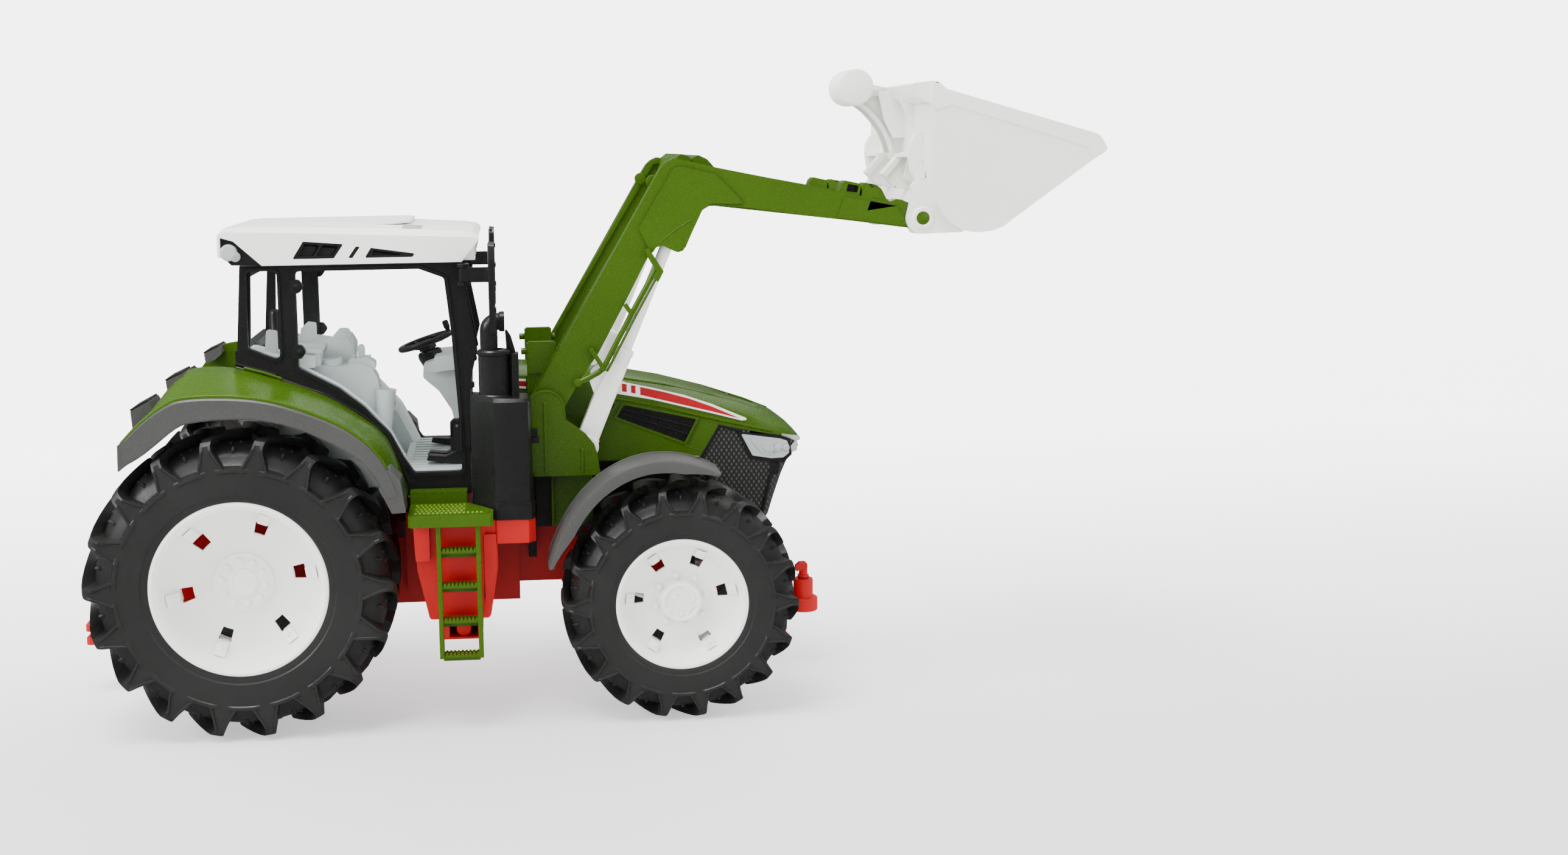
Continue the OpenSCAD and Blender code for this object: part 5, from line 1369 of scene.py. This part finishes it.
ARM_OUTLINE = arc(*ARM_PIVOT, 6.8, 150, 330, 14) + [(139, 138.4), (147, 149.8), (159, 171.8), (167.6, 188.2),
    (169.2, 191), (171.4, 193), (174, 193.6), (176.6, 192.8), (178.6, 191.2), (180.6, 190.6), (182.6, 191.2),
    (184, 193.4), (186, 198), (188.6, 204), (190.6, 207.6), (193.5, 209.3), (197, 209.4), (209, 208.4),
    (276, 199)] + arc(*TIP_PIVOT, 6, -60, 60, 8) + [(277, 209.3), (274, 210.6), (272, 210.9), (269.4, 209.9),
    (197, 225), (182, 228.6), (179, 228.9), (176.4, 227.8), (174.2, 225.8), (172.4, 223), (160.8, 203)]
ELBOW = [(164.2, 200.8), (169.4, 189.8), (171.4, 192.8), (174, 193.6), (178.6, 191.2), (180.6, 190.6),
    (183.6, 192.6), (186, 198), (190.6, 207.6), (194, 210.4), (208.6, 209.9), (196.4, 222.3), (181.6, 225.9),
    (178.8, 224.9)]


def add_arm(side_name, side):
    """One arm: a web with raised rims, the raised elbow plate, and the joined strip near the pivot."""
    arm = Piece("arm_shell_" + side_name, "loader", "green_plastic", "arm_" + side_name)
    arm.plate(GREEN, ARM_OUTLINE, ARM_IN + 1.2, ARM_OUT - 0.7, side=side)
    pocket = Piece("pocket", "loader", "green_plastic")
    pocket.plate(GREEN, [(164, 176), (169, 201), (173, 205), (182, 205), (187.6, 199.4), (184, 186),
        (172, 176)], 33.7, 40.3, side=side)
    pocket.plate(GREEN, [(144, 148), (144.4, 157.4), (151.4, 172.6), (160.6, 168.4), (150.5, 144.6)], 34.7,
        39.3, side=side)
    arm.plate(GREEN, rounded(ELBOW, [0.8, 1, 1, 2, 1, 1, 1, 2, 2, 2, 1.4, 2, 2, 2], 4), 41.4, ARM_OUT + 0.25,
        side=side)
    arm.plate(GREEN_DULL, rounded([(137, 160), (147.6, 149.4), (137.4, 140.8), (131, 151.8)], 0.3), 41.0,
        41.75, side=side)
    arm.plate(GREEN, rounded([(250, 212.4), (272, 208), (276, 202), (276, 199.6), (247, 203.6)], 1.0), 41.4,
        41.8, side=side)
    # Round boss with its pin on the inner face of the elbow, and the shallow fold line below it
    arm.rod(GREEN, (171, side * 30.4, 219.6), (171, side * 33, 219.6), 4.4, 32, 0.5)
    arm.rod(GREEN, (171, side * 29.6, 219.6), (171, side * 30.8, 219.6), 2.6, 24, 0.4)
    arm.done(bevel=0.4, angle=30, cut=pocket)
    rim = Piece("arm_rim_" + side_name, "loader", "green_plastic")
    web = [(121.6, 134.4), (128.6, 131.4), (134.4, 137), (143, 147.6), (155, 169), (163, 184.6),
        (166.6, 192.6), (172, 195.8), (180, 193), (182, 195.6), (188.4, 210.6), (194, 211.6), (270, 201.8),
        (275.4, 206.4), (196, 222.8), (181, 226.4), (177.2, 225.8), (163, 203)]
    outer = [(117.8, 131), (118.2, 123.6), (124.2, 120.4), (130.4, 124), (139, 138.6), (147, 150),
        (159, 172), (167.4, 188.2), (170.8, 192.4), (174, 193.8), (180.4, 190.8), (183.4, 192.4), (190, 207),
        (194, 209.4), (276, 199.2), (284.6, 198), (287.6, 203), (284, 208.4), (277, 209.2), (197, 224.8),
        (181, 228.5), (176.4, 227.6), (161, 203)]
    rim.plate(GREEN, outer, ARM_IN, ARM_IN + 1.3, [web], side)
    # Shallow fold line on the outer face below the elbow
    rim.tube(GREEN, [(172.6, side * (ARM_OUT + 0.2), 194.6), (180, side * (ARM_OUT + 0.25), 200.4),
        (186.2, side * (ARM_OUT + 0.2), 204)], 0.25, 8)
    rim.done(bevel=0.3, angle=30)

    guard = Piece("hose_guard_" + side_name, "loader", "green_plastic")
    line = [(137.6, 137.4), (142.4, 139.4), (146.6, 141.6), (148.4, 143), (149.6, 145), (153, 151.4),
        (160.4, 165.2), (170.2, 182.6), (171.6, 185.4)]
    guard.tube(GREEN, [(x, side * 43.1, z) for x, z in line], 1.2, 14)
    guard.tube(GREEN, [(x + 1.6, side * 43.3, z - 1.0) for x, z in line[3:]], 0.6, 10)
    guard.rod(GREEN, (137.9, side * 41.4, 137.5), (137.9, side * 44.4, 137.5), 1.7, 18)
    for outline in ([(142.6, 151.4), (144.2, 152.2), (150, 142.8), (148.4, 141.8)], [(157.2, 169.2),
            (158.8, 170.2), (161.6, 166), (160, 165)], [(166.4, 191.8), (168, 192.8), (169.6, 190.4),
            (174.2, 183), (171.8, 178.6), (169.4, 181), (171.2, 183.2), (168.6, 187.4)]):
        guard.plate(GREEN, rounded(outline, 0.35, 3), 41.8, 44.7, side=side)
    guard.done(bevel=0.25, angle=32)


def add_lift(side_name, side):
    """White cylinder body with its flat side lug, and the rod that runs up into the arm."""
    a = Vector((TUBE_PIVOT[0], 0, TUBE_PIVOT[1]))
    along = Vector((177 - TUBE_PIVOT[0], 0, 195.3 - TUBE_PIVOT[1])).normalized()
    up = Vector((-along.z, 0, along.x))

    def point(t, h, y=37.0):
        p = a + along * t + up * h
        return (p.x, side * y, p.z)

    body = Piece("cylinder_" + side_name, "lift_tube_" + side_name, "white_plastic", "lift_tube_" + side_name)
    body.spin(WHITE, [(0, 3), (3.4, 3), (3.7, 3.4), (3.7, 41), (4.0, 41.6), (4.0, 43.4), (3.6, 44),
        (3.0, 44.1), (2.75, 43.4), (2.75, 30)], point(0, 0), Vector((along.x, 0, along.z)), 32)
    body.rod(WHITE, (a.x, side * 32.4, a.z), (a.x, side * 41.6, a.z), 4.8, 32, 0.5)

    def outline(points):
        return [((a + along * t + up * h).x, (a + along * t + up * h).z) for t, h in points]

    body.plate(WHITE, rounded(outline([(2, -3.4), (2, 4.8), (5, 5.3), (22, 5.3), (36.6, 3.2), (36.6, -3)]),
        1.0), 33.8, 40.7, side=side)
    # The lug's peak is narrow, and enters a slot in the arm when the arm is down
    body.plate(WHITE, rounded(outline([(19, 2.5), (22, 5.7), (26, 9.2), (31, 10.6), (34, 8.4), (35.4, 5),
        (36, 2.5)]), [0, 2, 4, 3, 2, 1, 0], 5), 35.2, 38.8, side=side)
    face = [(a + along * t + up * h) for t, h in ((3, -2.8), (3, 4.4), (20, 4.6), (30, 1.8), (35, 1.6),
        (35, -2.6))]
    body.plate(WHITE, rounded([(p.x, p.z) for p in face], 1.2), 40.5, 41.0, side=side)
    body.done(bevel=0.35, angle=30)
    rod = Piece("piston_" + side_name, "lift_rod_" + side_name, "white_plastic", "lift_rod_" + side_name)
    length = (Vector((177, 0, 195.3)) - a).length
    rod.rod(WHITE, point(34, 0), point(length - 1.6, 0), 2.55, 28, 0.6)
    rod.dome(WHITE, point(length - 1.5, 0), (2.55, 2.55, 2.55), 20, 10)
    rod.done(bevel=0, angle=35)


def add_arm_links():
    """Cross tubes between the arms, the long shaft at the tips, and the catch boxes for the bucket."""
    cross = Piece("arm_cross_tubes", "loader", "green_plastic", "arm_crosspieces", "arm_guards")
    cross.plate(GREEN, rounded([(178, 219), (180.6, 228.8), (183.2, 230.8), (186.6, 229.4), (188.4, 226.6),
        (188, 219)], [0.5, 1, 1, 1, 0.5, 0.5]), -33, 33)
    cross.plate(GREEN, rounded([(187, 220), (187.2, 228.6), (190.3, 230.2), (194, 228.4), (196.6, 225.4),
        (196.4, 221)], [0.5, 1, 1, 2, 1, 0.5]), -33, 33)
    cross.rod(GREEN, (205, -33, 215), (205, 33, 215), 4, 36)
    cross.rod(GREEN, (TIP_PIVOT[0], -46.6, TIP_PIVOT[1]), (TIP_PIVOT[0], 46.6, TIP_PIVOT[1]), 2.7, 32, 0.3)
    for side in (RIGHT, LEFT):
        cross.rod(GREEN, (TIP_PIVOT[0], side * 45.8, TIP_PIVOT[1]), (TIP_PIVOT[0], side * 46.75,
            TIP_PIVOT[1]), 1.6, 24)
    cross.done(bevel=0.35, angle=30)

    catch = Piece("catch_boxes", "loader", "green_plastic", "coupler_latches")
    for side in (RIGHT, LEFT):
        outline = rounded([(247.6, 213.6), (249, 217.6), (250.4, 218.9), (257, 217.4), (257.4, 214),
            (256.8, 211.6)], [0.5, 1, 1, 0.8, 0.5, 0], 4)
        window = rounded([(250.8, 214.4), (251.6, 217.4), (256.2, 216.5), (255.6, 213.8)], 0.5)
        catch.plate(GREEN, outline, 38.4, 41, [window], side)
        catch.plate(BLACK, window, 38.2, 38.8, side=side)
        catch.plate(GREEN, outline, 33, 38.4, side=side)
        catch.plate(GREEN, rounded([(256.4, 212.6), (257, 216.4), (258.4, 217.9), (263.6, 216.8),
            (265.6, 215.2), (268, 210.6), (267.4, 209.6)], [0, 1, 0.8, 1, 1.4, 0.5, 0], 4), 33, 41, side=side)
        catch.plate(GREEN, rounded([(257.6, 212.2), (258.2, 216), (259.4, 216.9), (263.2, 216),
            (264.6, 214.6), (266, 211)], 0.6, 4), 40.8, 41.3, side=side)
    catch.done(bevel=0.35, angle=30)


GREEN_DULL = material("green_patch", (0.033, 0.056, 0.011), 0.55, 900, 0.12, 0.03)
for side_name, side in SIDES:
    add_bracket(side_name, side)
    add_arm(side_name, side)
    add_lift(side_name, side)
add_arm_links()

# ---- Bucket ----
CHEEK = [(282, 258.5), (285.2, 257.6), (287.6, 255.2), (350.4, 236.5), (352, 235.2), (354.9, 230.7),
    (354, 229.4), (349, 226), (316, 202.4), (312.4, 199.6), (308, 198), (303, 197.4), (299, 197.6),
    (295, 198.6), (291.6, 200.8), (288.6, 203.4), (286, 207.4), (284.6, 212), (284.2, 218), (283.4, 230),
    (282.6, 236), (283, 241), (284.8, 246.8), (281.6, 248.6)]
BUCKET_HALF = 59.5


def add_bucket():
    """Cheeks, the curved skin between them, and the raised rim along the top of each cheek."""
    bucket = Piece("bucket_shell", "bucket", "white_plastic", "bucket")
    skin = [(282.2, 258.4), (282.2, 227), (284.6, 212), (286.4, 206.6), (290, 202.4), (295, 198.8),
        (300, 197.5), (308, 198.1), (313, 200.2), (349, 226.1), (354.6, 230.6), (352, 230.9), (348, 228),
        (312, 202), (307.5, 200), (300, 199.6), (296.4, 200.8), (292.4, 204.4), (289, 208.6), (287.2, 213.4),
        (284.4, 228), (284.4, 258.2)]
    bucket.plate(CREAM, skin, -BUCKET_HALF + 1, BUCKET_HALF - 1)
    rim = [(282, 258.5), (285.2, 257.6), (287.6, 255.2), (350.4, 236.5), (352, 235.2), (354.9, 230.7),
        (354, 229.4), (349.2, 226.2), (346.2, 231.4), (290.2, 248.9), (285, 247.5), (281.8, 248.8)]
    for side in (RIGHT, LEFT):
        bucket.plate(CREAM, CHEEK, BUCKET_HALF - 2.2, BUCKET_HALF - 0.55, side=side)
        bucket.plate(CREAM, rounded(rim, [1, 1, 2, 1.5, 1, 1, 0.5, 0.5, 2, 1.5, 1.5, 0.5], 4),
            BUCKET_HALF - 2.4, BUCKET_HALF, side=side)
    bucket.done(bevel=0.4, angle=30)

    frame_back = Piece("bucket_frame", "bucket", "white_plastic", "bucket_back_frame")
    for side in (RIGHT, LEFT):
        plate = arc(*TIP_PIVOT, 6.5, 160, 270, 12) + [(292, 196.8), (299.6, 197.6), (291, 201.6),
            (287.6, 206), (285, 213), (283.4, 219.6), (281, 219.2), (278.6, 218), (277, 216.2), (277.6, 213)]
        frame_back.plate(CREAM, rounded(plate, [0] * 13 + [0, 0, 1, 1, 1, 1, 0.8, 1, 1, 0.6], 4), 42.4, 46.2,
            side=side)
        frame_back.spin(CREAM, [(2.75, 0), (2.8, 2), (3.2, 2.3), (4.2, 2.3), (4.6, 1.9), (5, 1.4), (5.2, 0)],
            (TIP_PIVOT[0], side * 44.6, TIP_PIVOT[1]), (0, side, 0), 40)
        frame_back.rod(CREAM, (TIP_PIVOT[0], side * 42.4, TIP_PIVOT[1]), (TIP_PIVOT[0], side * 45.6,
            TIP_PIVOT[1]), 6.4, 40)
        frame_back.plate(CREAM, [(276.6, 200.6), (299, 198), (299, 196.9), (279, 196.6)], 36, 45.6, side=side)
        # Arched rib behind the skin
        frame_back.plate(CREAM, rounded([(282.4, 238.8), (278.8, 237.4), (276.6, 233.6), (276.2, 229),
            (277.4, 222), (280, 217), (283, 216.4)], [0, 1.5, 2, 2, 3, 1, 0], 4), 40.6, 45.4, side=side)
        frame_back.plate(CREAM, rounded([(270.4, 220.8), (277.6, 228.9), (279.8, 229.8), (284, 230.4),
            (284, 213), (279.6, 215), (275.6, 216)], [0.6, 0.6, 1, 0, 0, 0.6, 1], 4), 14.6, 19.4, side=side)
        frame_back.plate(CREAM, rounded([(270.4, 220.8), (277.8, 229.2), (279.4, 227.8), (272.2, 219.4)],
            0.4), 13.6, 20.4, side=side)
        frame_back.block(CREAM, (276.6, 15, 228), (284, 41, 229.4), side)
        frame_back.plate(CREAM, rounded([(279, 219), (280.6, 228), (284, 228), (284, 216)], 0.6), 22, 24,
            side=side)
        frame_back.plate(CREAM, rounded([(274.6, 257.6), (282.4, 258.4), (284, 255), (282.6, 249.4),
            (279, 250.4), (276.8, 252.2)], 0.8), 8, 58, side=side)
        frame_back.plate(CREAM, rounded([(276, 252.4), (282.6, 250.6), (283, 242), (281.4, 240)], 0.8), 26,
            27.6, side=side)
    frame_back.plate(CREAM, rounded([(280.4, 226.4), (284, 226.4), (284, 229), (280.4, 229)], 0.4), -46, 46)
    frame_back.plate(CREAM, rounded([(277, 201), (284, 199), (290, 204), (284.6, 214), (282, 214)], 0.8),
        -41, 41)
    frame_back.done(bevel=0.4, angle=30)

    handle = Piece("handle_grip", "bucket", "white_plastic", "bucket_handle")
    curve = [(262.6, 250.2), (266.4, 247.4), (270.2, 243.4), (273.4, 238.8), (275.6, 234), (276.8, 229.6)]
    handle.plate(CREAM, curve + [(284, 229.4), (284, 256), (276, 257.4), (268, 259), (262, 260)], -4.6, 4.6)
    handle.plate(CREAM, curve + [(x + 1.4, z + 1.1) for x, z in curve[::-1]], -6.4, 6.4)
    handle.plate(CREAM, rounded([(267, 256.6), (282.4, 258.3), (283.4, 255.6), (268, 253.6)], 0.7), -7, 7)
    for sign in (RIGHT, LEFT):
        handle.plate(CREAM, [(270.6, 256), (284, 256), (284, 236), (277.4, 236), (273.4, 244)], 8.2, 9.6,
            side=sign)
        profile = [(0, 12), (6.8, 12), (7.3, 11.8), (7.6, 11.2), (7.6, 9.2)]
        for k in range(4):
            y = 9.0 - 1.9 * k
            profile += [(7.1, y), (6.9, y - 0.5), (7.1, y - 0.9), (7.6, y - 1.0), (7.8, y - 1.4),
                (7.6, y - 1.8)]
        profile += [(7.4, 1.3), (6.4, 1.1), (6.4, 0), (0, 0)]
        handle.spin(CREAM, profile, (260.8, 0, 257.6), (0, sign, 0), 56)
    handle.done(bevel=0.3, angle=30)


add_bucket()


# ---- Mudguards and steering knuckles ----
def add_mudguard(side_name, side):
    """Curved charcoal guard with a down-turned lip, on a stay from the steering knuckle."""
    guard = Piece("mudguard_" + side_name, "knuckle_" + side_name, "charcoal_plastic", "knuckle_" + side_name)
    line = [(193.6, 103.6), (187, 106.4), (179.4, 108.6), (172, 109.4), (163, 108.8), (153.6, 105.8),
        (144.6, 100.4), (137.2, 93.4), (130.8, 84.4), (126, 74.6), (123.2, 66.2)]
    sections = []
    count = len(smooth_line(line))
    for i, p in enumerate(smooth_line(line)):
        n = Vector((p.x - 172, p.y - 56)).normalized()
        share = i / (count - 1)
        lip = 1.2 + 3.8 * min(1.0, share * 5) * min(1.0, (1 - share) * 6)
        ring = [(54, 0), (74.6, 0), (75.7, -0.5), (76, -1.4), (76, -lip), (75.2, -lip), (75.0, -2.1),
            (74, -2.4), (54, -2.4)]
        sections.append([(p.x + n.x * h, side * y, p.y + n.y * h) for y, h in ring])
    guard.loft(CHARCOAL, sections)
    guard.tube(CHARCOAL, [(p.x, side * 56.8, p.y + 0.1) for p in smooth_line(line)[2:-2]], 0.5, 8)
    guard.block(CHARCOAL, (WHEELBASE + 1, 33.6, 102), (WHEELBASE + 9.4, 56, 104), side, 0.4)
    guard.block(CHARCOAL, (WHEELBASE + 2, 54, 103), (WHEELBASE + 9.2, 58, 107.4), side, 0.4)
    guard.block(BLACK, (WHEELBASE + 3.8, 33.6, 47.4), (WHEELBASE + 9.4, 35.4, 104), side, 0.3)
    guard.done(bevel=0.3, angle=30)

    knuckle = Piece("knuckle_block_" + side_name, "knuckle_" + side_name, "black_plastic")
    knuckle.rod(BLACK, (WHEELBASE, side * 28, 41.2), (WHEELBASE, side * 28, 56.8), 1.8, 20)
    knuckle.block(BLACK, (WHEELBASE - 4, 30, 44), (WHEELBASE + 4, 35.4, 54), side, 0.5)
    knuckle.block(BLACK, (WHEELBASE + 3.6, 33, 45), (WHEELBASE + 9.4, 35.4, 52), side, 0.3)
    knuckle.rod(BLACK, (WHEELBASE, side * 34, FRONT_R), (WHEELBASE, side * 56, FRONT_R), 4.4, 28)
    knuckle.block(BLACK, (WHEELBASE + 3, 31.5, 45), (WHEELBASE + 14, 34.5, 47.4), side, 0.6)
    knuckle.rod(BLACK, (WHEELBASE + 12, side * 33, 41.4), (WHEELBASE + 12, side * 33, 45.4), 1.2, 16)
    knuckle.done(bevel=0.25, angle=30)


for side_name, side in SIDES:
    add_mudguard(side_name, side)


# ---- Hitches ----
def add_hitches():
    """Red fork at the back, and the red socket with its lifting pin at the front."""
    back = Piece("hitch_castings", "chassis", "red_plastic", "hitches")
    hole = arc(-71, 0, 2.0, 360, 15, 23)
    fork = rounded([(-78, -5), (-76.6, -6), (-32, -6), (-32, 6), (-76.6, 6), (-78, 5)], 1.0)
    back.plan(RED, fork, 22, 25, [hole])
    back.plan(RED, fork, 28, 31, [hole])
    back.block(RED, (-62, -5.9, 24.8), (-32, 5.9, 28.2))
    back.block(RED, (-38, -6, 30.6), (-32, 6, 39), soft=0.5)
    back.block(RED, (-60, -4.4, 30.8), (-40, 4.4, 32), soft=0.5)
    back.block(RED, (200, -6, 26), (236, 6, 31.5), soft=0.6)
    back.spin(RED, [(2.3, 0), (6.2, 0), (6.5, 0.4), (6.5, 5.6), (6.1, 6), (4.5, 6.1), (4.4, 6.5), (4.4, 14),
        (4.1, 14.5), (2.6, 14.6), (2.3, 14.2), (2.3, 0)], (240, 0, 25.5), (0, 0, 1), 40)
    back.done(bevel=0.35, angle=30)

    pin = Piece("tow_pin", "hitch_pin", "red_plastic", "hitch_pin")
    pin.rod(RED, (240, 0, 26), (240, 0, 44), 1.95, 24)
    pin.rod(RED, (240, 0, 40.4), (240, 0, 41.8), 2.6, 24)
    pin.plate(RED, rounded([(238.4, 43), (241.6, 43), (241.8, 46.6), (240.8, 47.6), (238.2, 47.6),
        (236.3, 45.8), (236.3, 43.6), (237.4, 43.4), (238.3, 44.8)], 0.5, 4), -1.4, 1.4)
    pin.done(bevel=0.3, angle=30)


add_hitches()

# ---- Parts that keep their constructed shape, given their plastics; the chassis, front axle and tie rod get red darkened as painted shade ----
KEPT = {"chassis": RED_PAINTED_SHADE, "engine_block": BLACK, "rear_stub_axles": BLACK, "chassis_screws": STEEL,
    "arm_pivot_pins": GREEN, "front_axle": RED_PAINTED_SHADE, "axle_pivot_pin": STEEL, "tie_rod": RED_PAINTED_SHADE}
for name, mat in KEPT.items():
    obj = bpy.data.objects[name]
    obj.data.materials.clear()
    obj.data.materials.append(mat)
    for polygon in obj.data.polygons:
        polygon.material_index = 0
    soften(obj, 0.3, 30)
